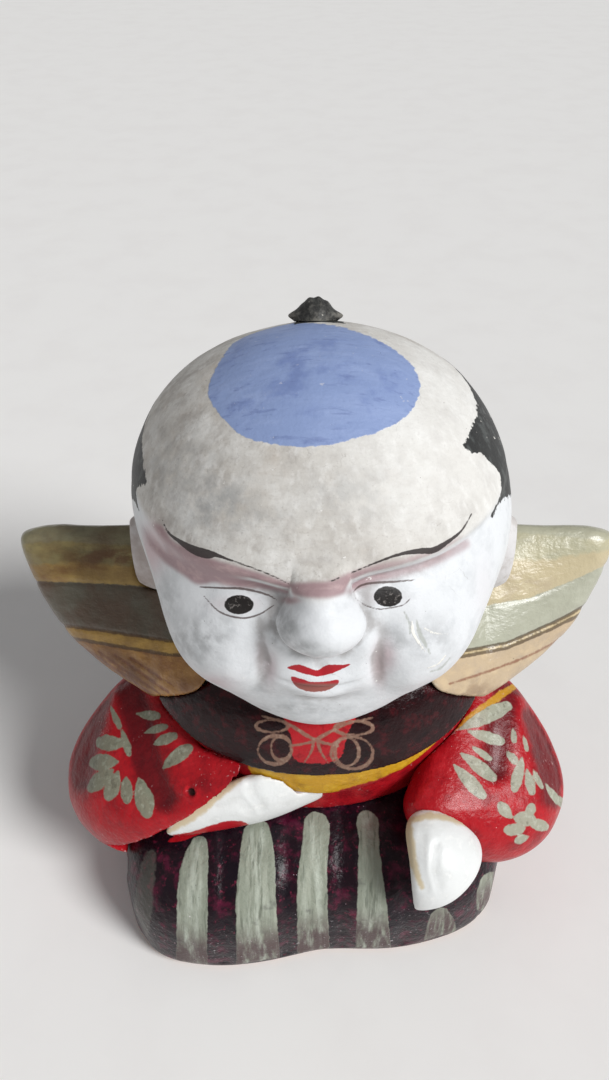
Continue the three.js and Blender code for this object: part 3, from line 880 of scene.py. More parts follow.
setFields(
    headShell, hair=hair * headSizes["radius"] * math.pi / 180, blue=blue, irises=towards(iris, facing),
    lips=towards(outlineField(spots, headPaint["lips"]), facing), lipWear=smooth((spots[:, 1] - 681) / 5),
    browShade=np.maximum(band, softTint(spots, headPaint["stain"]) * smooth(facing / 0.5)),
    face=smooth((browLine(side) - up + 2) / 7) * smooth((100 - np.abs(side)) / 30))

# Shell white (ground oyster shell in glue) brushed over fired clay: a soft chalky ground, greyed and
# rubbed on the crown, with brush drag, hair cracks and pin holes; the colours on it are thin and matt.
# Some of the grey is painted shade: on the side away from the light, in the hollows, beside and under
# the nose, under the chin and under the brows; the crown's side towards the light is painted paler.
faceMask = byTint("face")
sootMask = (byTint("soot", 0.4), blotches(5.5, 0.3, 0.66, detail=7.0, seed=6))
crackMask = (crackled(9.0, 0.1), blotches(16, 0.57, 0.66, seed=7))
grimeMask = (byField("hollow", 0.5, 0.2, 3.0, inset=0.5), blotches(6, 0.2, 0.6, seed=25))
browMask = byTint("browShade")
blueMask = byField("blue", 0.3, 0.5, 2.2, seed=8)
hairMask = byField("hair", 0.3, 1.1, 3.0, seed=12)
shellWhite = painted("shellWhiteOnClay", "#cbc7c0", 0.62, [
    coat("#e4e3df", blotches(19, 0.36, 0.7, detail=6.0, seed=1), 0.85),
    coat("#a09992", blotches(8, 0.42, 0.76, detail=8.0, seed=2), 0.7, rough=0.7),
    coat("#b5aea5", blotches(1.6, 0.48, 0.7, stretch=(4, 1.5, 1), seed=3), 0.35),  # brush drag
    coat("#f0efec", blotches(2.2, 0.48, 0.76, stretch=(1.5, 1.5, 4), detail=7.0, seed=21), 0.55),
    coat("#968e86", blotches(1.1, 0.56, 0.72, detail=6.0, seed=24), 0.35),
    coat("#bba996", blotches(24, 0.58, 0.75, seed=4), 0.3),
    # painted light: the crown's side towards the light made paler, and less rubbed there
    coat("#f1f1ee", byTint("clean"), 0.52),
    coat("#e4e7ea", faceMask, 0.93, rough=0.48),
    coat("#c9cdd0", (faceMask, blotches(9, 0.48, 0.7, detail=6.0, seed=5)), 0.5),
    # pink paint, and painted shade beside the nose and mouth and at the temple
    coat("#c9a6ab", byTint("blush", 0.45), 0.75),
    # grey smudges and painted shade
    coat("#97999a", sootMask, 0.7),
    coat("#4d4744", (*sootMask, pitted(1.9, 0.16, 0.5, seed=4)), 0.8, lift=-0.05),
    coat("#857b72", crackMask, 0.35, lift=-0.04),
    # grime, and painted shade, in the hollows of the face
    coat("#8d8784", grimeMask, 0.6, rough=0.6),
    # the band under the brows: pink paint and painted shade
    coat("#a08286", browMask, 0.9),
    coat("#c3a9a9", (browMask, blotches(3.0, 0.46, 0.7, stretch=(4, 1, 1), detail=6.0, seed=29)), 0.6),
    coat("#5f564e", pitted(4.2, 0.22, 0.3, seed=1), 0.65, lift=-0.1),
    coat("#f1f0ed", blotches(2.8, 0.7, 0.75, seed=22), 0.7, lift=0.04),
    coat("#8ea1cc", blueMask, rough=0.45, lift=0.05),
    coat("#9dafd8", (blueMask, blotches(6, 0.44, 0.7, stretch=(4, 1, 1), seed=9)), 0.6),
    coat("#6b7db3", (blueMask, blotches(12, 0.5, 0.7, seed=10)), 0.55),
    coat("#5f6ca0", (blueMask, blotches(2.4, 0.56, 0.7, stretch=(5, 1, 1), seed=23)), 0.4),
    coat("#cdd0dc", (blueMask, blotches(2.6, 0.68, 0.73, seed=11)), 0.6, lift=-0.05),
    coat("#3d4263", (blueMask, pitted(6.0, 0.24, 0.3, seed=3)), 0.8),
    coat("#2f3030", hairMask, rough=0.5, lift=0.06),
    coat("#565a59", (hairMask, blotches(4, 0.5, 0.66, stretch=(1, 1, 2.5), seed=13)), 0.65),
    coat("#d6d2cc", (hairMask, blotches(3.0, 0.66, 0.7, seed=14)), 0.9, lift=-0.06),
    coat("#2f2525", byField("brows", 0.16, 0.12, 1.2, seed=15), 0.95, rough=0.5),
    coat("#4a3733", byField("eyeLines", 0.16, 0.1, 1.2, seed=16), 0.85),
    coat("#211d1c", byField("irises", 0.18, 0.12, 1.0, seed=17), rough=0.42),
    coat("#8b8581", (byField("irises", 0.2, inset=0.5), blotches(1.3, 0.56, 0.64, seed=18)), 0.6),
    coat("#b01d29", byField("lips", 0.2, 0.2, 1.4, seed=19), rough=0.45),
    coat("#8d665c", (byField("lips", 0.3, 0.2, 1.4, seed=19), byTint("lipWear")), 0.75),
    # painted shadow beside each lifted sliver
    coat("#a9ada5", byField("sliverDirt", 0.4, 0.3, 1.6, seed=27), 0.7, lift=-0.1),
    coat("#f6f4ec", byField("slivers", 0.2, 0.2, 1.2, seed=28), 0.95, lift=0.12),
    coat(None, blotches(1.6, 0.3, 0.7, seed=20), lift=0.05),
    coat(None, blotches(3.2, 0.3, 0.7, stretch=(3.5, 1, 1), seed=3), lift=0.07),
], gloss=0.35)
addPiece("head", headShell, shellWhite, "shell_white", "face_shell", "skull_shell")
print("head done")

# Topknot and ears

knot = worked("topknot", topknotMesh(), [headSeat])
ridgeField(knot, 10)
# Lamp black in glue over shell white: dull black, rubbed grey on what stands out.
hairBlack = painted("lampBlackOnClay", "#2d2d2c", 0.55, [
    coat("#4f504d", blotches(2.5, 0.45, 0.65, stretch=(1, 3, 1), seed=1), 0.6),
    coat("#8d8a82", byField("ridge", 0.2, 0.15, 1.6, inset=0.28, seed=2), 0.6, rough=0.65),
    coat("#cbc6bd", blotches(2.2, 0.66, 0.71, seed=3), 0.8, lift=-0.06),
    coat(None, blotches(1.2, 0.3, 0.7, stretch=(1, 3, 1), seed=4), lift=0.12),
])
addPiece("topknotTuft", knot, hairBlack, "hair_black", "topknot")

leftEar = worked("left_ear", earMesh(0.0, 0.34), [headSeat])
rightEar = worked("right_ear", mirrored(earMesh(0.0, 0.34, earSizes["rightInset"])), [headSeat])
# The same shell white, thicker and cleaner where the brush was loaded.
earWhite = painted("shellWhiteOnEars", "#d8d6d6", 0.6, [
    coat("#bdb7b2", blotches(6, 0.46, 0.66, seed=1), 0.6),
    coat("#cfa9ad", byField("hollow", 0.3, 0.1, 2.0, inset=0.25), 0.55),
    coat("#8f8780", pitted(5.0, 0.3, 0.3, seed=1), 0.6, lift=-0.1),
    coat(None, blotches(1.8, 0.3, 0.7, seed=2), lift=0.08),
    # dust and painted shade, on the right ear only, which is away from the light
    coat("#97867f", (byTint("dust"), blotches(9, 0.2, 0.6, seed=5)), 0.7),
])
for which, ear in (("right", rightEar), ("left", leftEar)):
    ridgeField(ear, 16)
    setFields(ear, dust=np.full(len(ear.vertices), float(which == "right")))
    addPiece(which + "EarCast", ear, earWhite, "shell_white", which + "_ear")
print("topknot and ears done")

# Lap: pleated trousers over the folded legs, hollow underneath

lapPaint = {
    "stripes": [[(178, 1000), (177, 944), (178, 885), (185, 853), (197, 836), (207, 842), (208, 862),
                 (207, 944), (205, 1000)],
                [(237, 1000), (237, 953), (236, 903), (240, 856), (244, 830), (257, 820), (269, 827),
                 (274, 856), (276, 903), (279, 950), (280, 1000)],
                [(298, 1000), (298, 944), (297, 885), (302, 844), (305, 818), (317, 812), (329, 824),
                 (327, 868), (329, 944), (330, 1000)],
                [(355, 1000), (356, 941), (357, 900), (359, 844), (357, 818), (366, 810), (377, 818),
                 (379, 844), (384, 885), (390, 941), (392, 1000)],
                [(424, 950), (431, 915), (446, 909), (456, 929), (446, 941), (436, 952)],
                [(477, 908), (481, 880), (493, 872), (500, 876), (496, 892), (486, 908)]],
    "hem": [(168, 842), (180, 832), (204, 822), (230, 814), (238, 817), (220, 826), (200, 834),
            (182, 841)],
    "faintStripe": [(133, 940), (136, 890), (144, 856), (155, 852), (153, 895), (147, 938)],
    "pleats": [224, 287, 343, 405],  # columns of the creases between the stripes
    "spacing": 27.0, "stripe": 13.0,  # at the sides and the back
    "voxel": 1.25, "uneven": [(0.45, 24, 4), (0.16, 8, 5)],
}
lapSeat = lapMesh(seatGap, -lapSizes["wall"])
torsoSeat = torsoMesh(seatGap)
lapShell = worked("lap", lapMesh(0.0, 0.0),
                  [lapMesh(-lapSizes["wall"], -lapSizes["wall"], 90, 40),
                   torsoMesh(-torsoSizes["wall"], 72, 40)], lapPaint["voxel"], rounds=4)
points, normals = pointsOf(lapShell), normalsOf(lapShell)
spots, facing = onSheet(lapShell)
front = smooth((facing - 0.1) / 0.2) * smooth((20 - points[:, 1]) / 20) * smooth((spots[:, 1] - 780) / 30)
along = np.where(np.abs(normals[:, 0]) > np.abs(normals[:, 1]), points[:, 1], points[:, 0])
gapTo = np.abs((along + 200 * lapPaint["spacing"]) % lapPaint["spacing"] - lapPaint["spacing"] / 2)
wrapped = lapPaint["stripe"] / 2 - gapTo
crease = np.zeros(len(spots))
for col in lapPaint["pleats"]:
    crease = np.maximum(crease, bump(spots[:, 0] - col, 7.0))
outside = smooth((np.abs(points[:, 0]) + np.abs(points[:, 1] - backShift) - 60) / 20)
grooves = 0.9 * crease * front + 0.5 * (1 - front) * outside * smooth(-wrapped / 3)
press(lapShell, lapPaint["uneven"], rounds=14, dents=grooves, fade=smooth((points[:, 2] - 1.0) / 6))
atFront = (facing > 0.12) & (points[:, 1] < np.where(np.abs(normals[:, 0]) > 0.7, -28, 20))
corner = (points[:, 0] < 0) & (points[:, 1] < -30)  # plain purple where the last front stripe is thin
outward = normals[:, 0] * points[:, 0] + normals[:, 1] * (points[:, 1] - backShift)
setFields(
    lapShell, low=smooth((46 - points[:, 2]) / 32),
    stripe=np.where(atFront, outlineField(spots, lapPaint["stripes"]), np.where(corner, farOut, wrapped)),
    faintStripe=np.where(atFront, outlineField(spots, [lapPaint["faintStripe"]]), farOut),
    hem=np.where(atFront, outlineField(spots, [lapPaint["hem"]]), farOut),
    bare=np.where((outward < -8) | (normals[:, 2] < -0.5), 3.0, -3.0))

# Glue paint and varnish on clay: a near-black purple with magenta showing through in clouds, brushed
# grey-green stripes that thin out at their ends, and chips down to the white ground along the edges.
stripeMask = byField("stripe", 0.3, 0.35, 4.0, seed=4)
lowMask = byTint("low")
trouserPurple = painted("varnishedPurpleOnClay", "#1d0d16", 0.34, [
    coat("#5c1532", blotches(6, 0.48, 0.68, detail=6.0, seed=1), 0.75),
    coat("#140c16", blotches(12, 0.48, 0.64, seed=2), 0.8),
    coat("#8a2444", blotches(2.4, 0.58, 0.72, seed=3), 0.5),
    coat("#93998a", stripeMask, 0.94, rough=0.48, lift=0.1),
    coat("#adb2a3", (stripeMask, blotches(2.6, 0.48, 0.68, stretch=(1, 7, 9), seed=5)), 0.6),
    coat("#c0c7ba", (byField("stripe", 1.5, 0.9, 5.0, inset=3.0, seed=15),
                     blotches(3.4, 0.4, 0.64, stretch=(1, 7, 9), seed=16)), 0.65),
    coat("#666c5f", (stripeMask, blotches(1.8, 0.54, 0.68, stretch=(1, 7, 9), seed=6)), 0.7),
    coat("#4d4a4c", (stripeMask, blotches(9, 0.58, 0.74, seed=7)), 0.5),
    coat("#4a2c33", (stripeMask, lowMask, blotches(3.0, 0.26, 0.56, stretch=(1, 1, 5), seed=14)), 0.85),
    coat("#4a4248", (stripeMask, pitted(3.0, 0.22, 0.35, seed=3)), 0.7),
    coat("#6b6a62", byField("faintStripe", 0.6, 0.6, 2.4, seed=8), 0.45),
    coat("#b31722", byField("hem", 0.3, 0.3, 2.4, seed=13), rough=0.34),
    coat("#bdb4b8", (byField("ridge", 0.3, 0.2, 2.0, inset=0.9, seed=9),
                     blotches(2.0, 0.56, 0.62, seed=10)), 0.5, rough=0.6, lift=-0.06),
    coat("#cbb9c3", pitted(3.4, 0.24, 0.3, seed=1), 0.6, rough=0.6),
    coat("#d5ccd0", (lowMask, pitted(1.9, 0.2, 0.35, seed=4)), 0.7),
    coat("#c9c3c6", (lowMask, blotches(1.6, 0.64, 0.68, detail=5.0, seed=17)), 0.55, rough=0.6),
    coat("#d9d2d4", pitted(9.0, 0.5, 0.25, seed=2), 0.7, rough=0.6),
    coat("#0d080d", byField("hollow", 0.3, 0.1, 2.0, inset=0.4), 0.6),
    coat("#9c6a4b", byField("bare", 0.8, 0.6, 4.0), rough=0.85),
    coat(None, blotches(2.6, 0.3, 0.7, seed=11), lift=0.14),
    coat(None, blotches(7, 0.3, 0.7, seed=12), lift=0.25),
], gloss=0.22, varnish=0.08, varnishRough=0.15)
addPiece("lap", lapShell, trouserPurple, "trouser_purple", "lap_front", "lap_back")
print("lap done")

# Torso: the robe's body, with the back of the vest painted on it

torsoPaint = {"backTop": 46.0, "backFoot": 27.0, "voxel": 1.2, "uneven": [(0.35, 20, 6), (0.12, 7, 7)]}
torsoHollow = worked("torsoHollow", torsoMesh(-torsoSizes["wall"], 72, 40),
                     [headMesh(torsoSizes["wall"], 0.0, evenTurns(64), evenTilts(40))])
torsoShell = worked("torso", torsoMesh(0.0, 160, 120),
                    [lapSeat, headSeat, torsoHollow, neckBore], torsoPaint["voxel"], rounds=4)
points, normals = pointsOf(torsoShell), normalsOf(torsoShell)
press(torsoShell, torsoPaint["uneven"], rounds=14)
halfBack = lerp(torsoPaint["backFoot"], torsoPaint["backTop"], smooth((points[:, 2] - 60) / 60))
outward = normals[:, 0] * points[:, 0] + normals[:, 1] * (points[:, 1] - backShift)
setFields(torsoShell, vestBack=np.where(points[:, 1] > 10, halfBack - np.abs(points[:, 0]), farOut),
          bare=np.where((outward < -4) & (points[:, 2] < 112), 3.0, -3.0))

# Glue-bound vermilion under varnish: a deep glossy red, maroon where it pools in the folds, with
# chips down to the white ground on what stands out and fine dust marks.
robeCoats = [
    coat("#c4232c", blotches(9, 0.48, 0.68, seed=1), 0.6),
    coat("#7a0f1a", blotches(14, 0.5, 0.68, seed=2), 0.65),
    coat("#8f1220", blotches(3, 0.54, 0.7, seed=3), 0.5),
    coat("#4a0a14", byField("hollow", 0.35, 0.1, 2.0, inset=0.3), 0.75),
]
worn = (byField("ridge", 0.3, 0.2, 2.0, inset=0.9, seed=4), blotches(2.0, 0.56, 0.62, seed=5))
scuffed = (blotches(18, 0.5, 0.62, seed=10), blotches(1.5, 0.62, 0.68, detail=5.0, seed=11))
robeWear = [
    coat("#d9c5c2", worn, 0.6, rough=0.6, lift=-0.07),
    coat("#d8c6c4", pitted(4.5, 0.28, 0.22, seed=1), 0.6, rough=0.6),
    coat("#dfc9c7", pitted(2.2, 0.2, 0.16, seed=5), 0.6, rough=0.6),
    coat("#d9b9b8", scuffed, 0.5, rough=0.6),
    coat("#e0d3cf", pitted(11.0, 0.6, 0.2, seed=3), 0.7, rough=0.6),
    coat("#2c0a0e", pitted(7.0, 0.35, 0.2, seed=2), 0.8, lift=-0.1),
    coat(None, blotches(2.2, 0.3, 0.7, seed=6), lift=0.12),
    coat(None, blotches(6.5, 0.3, 0.7, seed=7), lift=0.22),
]


def robeRed(name, coats):
    return painted(name, "#ad1620", 0.33, robeCoats + coats + robeWear,
                   gloss=0.2, varnish=0.1, varnishRough=0.12)


backMask = byField("vestBack", 0.3, 0.3, 2.5, seed=8)
torsoRed = robeRed("varnishedRedOnTorso", [
    coat("#3a2a1c", byField("vestBack", 0.3, 0.3, 2.5, inset=-1.6, seed=8)),
    coat("#98793f", backMask, rough=0.42),
    coat("#6f6a4c", (backMask, blotches(8, 0.46, 0.66, stretch=(1, 1, 2), seed=9)), 0.7),
    coat("#9c6a4b", byField("bare", 0.8, 0.6, 4.0), rough=0.85),
])
addPiece("torso", torsoShell, torsoRed, "robe_red", "torso_front", "torso_back")
print("torso done")

# Vest: chest panel, lining and wings

panelPaint = {
    "red": [(287, 708), (354, 708), (347, 735), (337, 761), (296, 761), (291, 738)],
    # a tied cord in dull gold: loops, then the strands that cross at the tie
    "loops": [((275, 750), (17, 14)), ((281, 748), (10, 12)), ((352, 753), (21, 16)),
              ((347, 752), (12, 14)), ((272, 726), (16, 6)), ((354, 728), (19, 7))],
    "strands": [[(262, 716, 0.8), (284, 722, 1.5), (303, 733, 1.8), (318, 741, 1.6), (338, 746, 1.0)],
                [(372, 718, 0.8), (346, 724, 1.5), (326, 734, 1.8), (311, 742, 1.6), (290, 746, 1.0)],
                [(314, 740, 1.6), (311, 752, 1.3), (304, 763, 0.7)],
                [(317, 740, 1.6), (321, 752, 1.3), (328, 763, 0.7)]],
    "loopWidth": 1.45, "voxel": 0.7, "uneven": [(0.3, 14, 8), (0.1, 5, 9)],
}
panelSeat = chestSlab("panel", seatGap)
liningSeat = chestSlab("lining", seatGap)
wingSeat = wingMesh(seatGap)
panel = worked("vest_panel", chestSlab("panel", 0.0), [torsoSeat, headSeat], panelPaint["voxel"], rounds=5)
press(panel, panelPaint["uneven"], rounds=12)
spots, facing = onSheet(panel)
strokes = list(panelPaint["strands"])
for (col, row), (wide, high) in panelPaint["loops"]:
    angles = np.linspace(0, 2 * math.pi, 17)
    pressure = panelPaint["loopWidth"] * (1 + 0.35 * np.sin(2 * angles + col))
    strokes.append(np.stack([col + wide * np.cos(angles), row + high * np.sin(angles), pressure], 1))
setFields(panel, gold=towards(brushField(spots, strokes), facing),
          redGround=towards(outlineField(spots, [panelPaint["red"]], steps=3), facing))

# Lamp black over maroon under thick varnish: almost black, with a hard gloss and red in the rubs.
redMask = byField("redGround", 0.3, 0.5, 2.0, seed=3)
vestBlack = painted("varnishedBlackOnClay", "#22090c", 0.24, [
    coat("#4a1017", blotches(5, 0.5, 0.68, detail=5.0, seed=1), 0.7),
    coat("#14080b", blotches(9, 0.52, 0.66, seed=2), 0.7),
    coat("#b01c25", redMask, rough=0.3),
    coat("#7d1119", (redMask, blotches(4, 0.5, 0.66, seed=4)), 0.6),
    coat("#8b6c5c", byField("gold", 0.3, 0.25, 1.6, seed=5), 0.85, rough=0.42, lift=0.06),
    coat("#a88f7e", (byField("gold", 0.2, 0.3, 1.6, inset=0.3, seed=5),
                     blotches(2, 0.5, 0.64, seed=6)), 0.6),
    coat("#8f7f78", (byField("ridge", 0.25, 0.15, 1.6, inset=0.6, seed=7),
                     blotches(2.0, 0.54, 0.6, seed=8)), 0.6, rough=0.5),
    coat("#cfc5bf", pitted(7.0, 0.35, 0.25, seed=1), 0.7),
    coat(None, blotches(2.4, 0.3, 0.7, seed=9), lift=0.12),
    coat(None, blotches(6, 0.3, 0.7, seed=10), lift=0.2),
], gloss=0.16, varnish=0.14, varnishRough=0.06)
addPiece("chestPanel", panel, vestBlack, "vest_black", "vest_panel")

liningPaint = {
    "yellow": [(247, 762), (281, 766), (345, 770), (400, 756), (440, 738), (474, 704), (512, 684),
               (514, 692), (482, 722), (440, 752), (400, 770), (372, 781), (340, 790), (322, 799),
               (300, 802), (276, 796), (262, 786)],
    "voxel": 0.7, "uneven": [(0.25, 12, 10), (0.1, 4, 11)],
}
lining = worked("vest_lining", chestSlab("lining", 0.0),
                [torsoSeat, headSeat, panelSeat, wingSeat, mirrored(wingSeat)],
                liningPaint["voxel"], rounds=4)
press(lining, liningPaint["uneven"], rounds=10)
spots, facing = onSheet(lining)
setFields(lining, yellow=towards(outlineField(spots, [liningPaint["yellow"]], steps=3), facing))
# Chrome yellow in glue under varnish: a strong warm yellow that has browned in its hollows.
yellowMask = byField("yellow", 0.3, 0.4, 2.5, seed=4)
liningYellow = painted("varnishedYellowOnClay", "#a3151f", 0.34, [
    coat("#6d0f18", blotches(7, 0.5, 0.68, seed=5), 0.6),
    coat("#c9971a", yellowMask, rough=0.36),
    coat("#e0b534", (yellowMask, blotches(6, 0.48, 0.66, seed=1)), 0.6),
    coat("#93641a", (yellowMask, blotches(8, 0.5, 0.68, seed=2)), 0.65),
    coat("#5c3812", byField("hollow", 0.25, 0.1, 2.0, inset=0.3), 0.6),
    coat("#efe3c8", pitted(6.0, 0.3, 0.25, seed=1), 0.6),
    coat("#4b2f16", pitted(5.0, 0.3, 0.3, seed=2), 0.7),
    coat(None, blotches(2.2, 0.3, 0.7, seed=3), lift=0.12),
], gloss=0.35, varnish=0.1, varnishRough=0.15)
addPiece("chestLining", lining, liningYellow, "lining_yellow", "vest_lining")
print("vest front done")

wingPaint = {
    # columns and rows of the lower edges of the painted bands, from the top edge down
    "right": {
        "rim": [(10, 545), (60, 541), (170, 548)],
        "ochre": [(10, 566), (80, 562), (170, 570)],
        "green": [(20, 580), (31, 581), (100, 584), (170, 588)],
        "line": [(50, 622), (58, 625), (110, 632), (170, 641)],
        "foot": [(50, 634), (66, 637), (110, 645), (170, 655)],
        "strokes": [[(82, 648, 1.4), (115, 670, 1.8), (150, 694, 1)],
                    [(98, 652, 1.2), (130, 675, 1.6), (160, 694, 1)],
                    [(114, 655, 1), (144, 676, 1.6), (168, 692, 1)],
                    [(130, 658, 1), (154, 674, 1.4), (174, 686, 1)]],
        "stain": [(110, 557, 52, 13, 0.9), (62, 570, 26, 8, 0.6), (120, 676, 46, 18, 0.6)],
        # this wing is away from the light: painted darker, partly as painted shade
        "dim": 0.8,
    },
    "left": {
        "rim": [(510, 532), (560, 536), (600, 540)],
        "ochre": [(500, 560), (550, 560), (604, 550)],
        "green": [(471, 608), (530, 598), (582, 577), (606, 566)],
        "line": [(454, 653), (507, 643), (552, 624), (573, 613), (600, 598)],
        "foot": [(454, 658), (507, 648), (552, 629), (573, 618), (600, 603)],
        "strokes": [[(450, 684, 0.8), (486, 672, 1.2), (530, 656, 1.2), (560, 640, 0.8)]],
        "stain": [(470, 600, 16, 20, 0.5), (476, 690, 26, 14, 0.5)],
        # this wing faces the light: painted paler, partly as painted light
        "dim": 0.15,
    },
    "voxel": 0.95, "uneven": [(0.45, 18, 12), (0.15, 6, 13)],
}
leftWing = worked("wing", wingMesh(0.0, 120, 160), [torsoSeat, headSeat, earMesh(seatGap), panelSeat])
wings = {"left": worked("leftWing", leftWing, (), wingPaint["voxel"], rounds=5),
         "right": worked("rightWing", mirrored(leftWing), (), wingPaint["voxel"], rounds=5)}

# Ochre and verdigris grey in glue under varnish, over clay: brushed bands from pale olive through
# grey-green to a warm tan, yellowed unevenly, with a soft gloss and a painted grey sheen along the
# rolled top edge; the wing away from the light is painted darker, partly as painted shade, the other paler.
ochreMask = byField("ochre", 1.2, 0.8, 3.5, seed=4)
greenMask = byField("green", 0.4, 0.4, 3.5, seed=6)
tanMask = byField("foot", 0.4, 0.4, 3.5, seed=9)
dimMask = byTint("dim")
vestOchre = painted("varnishedOchreOnClay", "#948a5c", 0.3, [
    coat("#aa9a64", blotches(9, 0.46, 0.66, stretch=(2, 1, 1), seed=1), 0.6),
    coat("#77704d", blotches(5, 0.52, 0.68, stretch=(3, 1, 1), seed=2), 0.5),
    # the rolled top edge: olive paint, greyed with a painted sheen
    coat("#85887a", byField("rimTop", 0.8, 0.5, 3.0, seed=3), 0.5),
    coat("#b8954f", ochreMask, 0.75),
    coat("#8f6230", (ochreMask, blotches(7, 0.54, 0.7, stretch=(3, 1, 1), seed=5)), 0.5),
    coat("#7f8371", greenMask, 0.95, rough=0.32),
    coat("#999c8a", (greenMask, blotches(4, 0.48, 0.66, stretch=(4, 1, 1), seed=7)), 0.6),
    coat("#625f4b", (greenMask, blotches(7, 0.5, 0.66, stretch=(3, 1, 1), seed=8)), 0.5),
    # painted shade: the green band darker on the wing away from the light
    coat("#43352a", (greenMask, dimMask), 0.8),
    coat("#c29a4c", byField("tan", 0.4, 0.4, 3.5, seed=9), rough=0.34),
    coat("#ad7b3c", tanMask, rough=0.34),
    coat("#c99a58", (tanMask, blotches(5, 0.48, 0.66, stretch=(3, 1, 1), seed=10)), 0.6),
    coat("#8a542a", (tanMask, blotches(6, 0.5, 0.66, stretch=(3, 1, 1), seed=11)), 0.5),
    # painted light: the wing towards the light is paler
    coat("#dfe0cd", byTint("pale"), 0.5),
    coat("#4b3a26", byField("bandLine", 0.3, 0.25, 3.0, seed=12), 0.8),
    coat("#7a3a20", byField("stroke", 0.4, 0.3, 3.0, seed=13), 0.7, lift=-0.06),
    coat("#6a4527", (byTint("stain", 0.45), blotches(5, 0.36, 0.6, stretch=(2, 1, 1), seed=18)), 0.8),
    # painted shade, mottled brown, over the wing away from the light
    coat("#57341f", (dimMask, blotches(15, 0.3, 0.66, seed=19)), 0.6),
    coat("#3c2d1c", byField("hollow", 0.3, 0.1, 2.0, inset=0.5), 0.6),
    coat("#cfc7ae", (byField("ridge", 0.3, 0.2, 2.0, inset=0.9, seed=14),
                     blotches(2.4, 0.56, 0.64, seed=15)), 0.5, rough=0.5),
    coat("#50412c", pitted(6.0, 0.35, 0.2, seed=1), 0.7, lift=-0.1),
    coat(None, blotches(2.4, 0.3, 0.7, stretch=(3, 1, 1), seed=16), lift=0.1),
    coat(None, blotches(7, 0.3, 0.7, seed=17), lift=0.25),
], gloss=0.4, varnish=0.2, varnishRough=0.12)
for which, wing in wings.items():
    lines = wingPaint[which]
    spots, facing = onSheet(wing)
    step, green = belowLine(spots, lines["line"]), belowLine(spots, lines["green"])
    strokes = brushField(spots, lines["strokes"])
    dents = 0.5 * bump(step, 1.1) + 0.45 * bump(green, 1.1) + 0.3 * bump(np.minimum(strokes, 0), 1.2)
    press(wing, wingPaint["uneven"], rounds=14, dents=dents)
    foot, dim = belowLine(spots, lines["foot"]), np.full(len(spots), lines["dim"])
    setFields(
        wing, rimTop=-belowLine(spots, lines["rim"]), ochre=belowLine(spots, lines["ochre"]), green=green,
        tan=step, foot=foot, bandLine=0.8 - np.minimum(np.abs(step), np.abs(foot)), stroke=strokes,
        stain=softTint(spots, lines["stain"]) * smooth(facing / 0.2), dim=dim, pale=0.9 - dim)
    addPiece(which + "WingSlab", wing, vestOchre, "vest_ochre", which + "_wing")
print("wings done")

# Sleeves: full robe sleeves with brushed leaves

sleevePaint = {
    "right": {
        # start, end and half width of each dab
        "leaves": [((134, 713), (160, 716), 5), ((142, 732), (168, 726), 4.2),
                   ((152, 744), (178, 735), 5.4), ((162, 768), (192, 746), 7),
                   ((124, 744), (96, 742), 8), ((118, 762), (88, 762), 8.5),
                   ((113, 770), (87, 789), 8.5), ((118, 772), (108, 799), 7.5),
                   ((126, 776), (127, 803), 6), ((138, 778), (148, 817), 8.5),
                   ((110, 706), (120, 730), 3), ((120, 728), (130, 758), 3.4)],
        # valleys in the cloth, painted darker as shade: col, row and half width
        "folds": [[(128, 684, 3), (138, 726, 5), (150, 772, 4), (164, 800, 1)],
                  [(98, 696, 2), (84, 740, 3), (78, 780, 1)],
                  [(176, 700, 3), (200, 716, 6), (222, 744, 3)]],
        "pits": [[(190, 791, 3.2), (191, 793, 3.0)]], "edging": [],
        # leaf colours: darker on this sleeve, as painted shade, since it is away from the light
        "leaf": "#868b78", "leafTop": "#a3a795",
    },
    "left": {
        "leaves": [((460, 729), (514, 703), 8), ((468, 731), (507, 742), 6),
                   ((471, 746), (495, 760), 3.6), ((461, 753), (498, 780), 7),
                   ((454, 765), (486, 799), 7), ((513, 728), (515, 743), 3),
                   ((523, 735), (528, 752), 2.6), ((508, 751), (517, 764), 4),
                   ((522, 758), (514, 792), 6), ((527, 769), (533, 795), 5),
                   ((533, 769), (545, 789), 3.6), ((548, 783), (567, 810), 4),
                   ((512, 818), (500, 804), 6), ((515, 818), (533, 820), 7.5),
                   ((528, 818), (533, 805), 5), ((528, 822), (547, 827), 6),
                   ((525, 828), (506, 831), 6), ((528, 836), (515, 841), 4)],
        "folds": [[(506, 690, 2), (500, 730, 3), (496, 770, 1)],
                  [(536, 716, 2), (550, 756, 3), (556, 796, 1)]],
        "pits": [], "edging": [[(452, 730, 2), (474, 715, 3.5), (496, 699, 4), (516, 685, 3)]],
        # leaf colours: paler on this sleeve, as painted light, since it faces the light
        "leaf": "#a2a694", "leafTop": "#bfc1b2",
    },
    "foldWidth": 12.0, "foldDepth": 1.7, "voxel": 1.0, "uneven": [(0.6, 22, 14), (0.2, 8, 15)],
}
bodySeats = [torsoSeat, lapSeat, liningSeat, panelSeat]
sleeveForms = {
    "right": (rightSleeveMesh(0.0), mirrored(wingSeat)),
    "left": (sleeveMesh(sleeveSizes["wrist"], 0.0), wingSeat),
}
leafMask = byField("leaf", 0.3, 0.3, 3.0, seed=20)
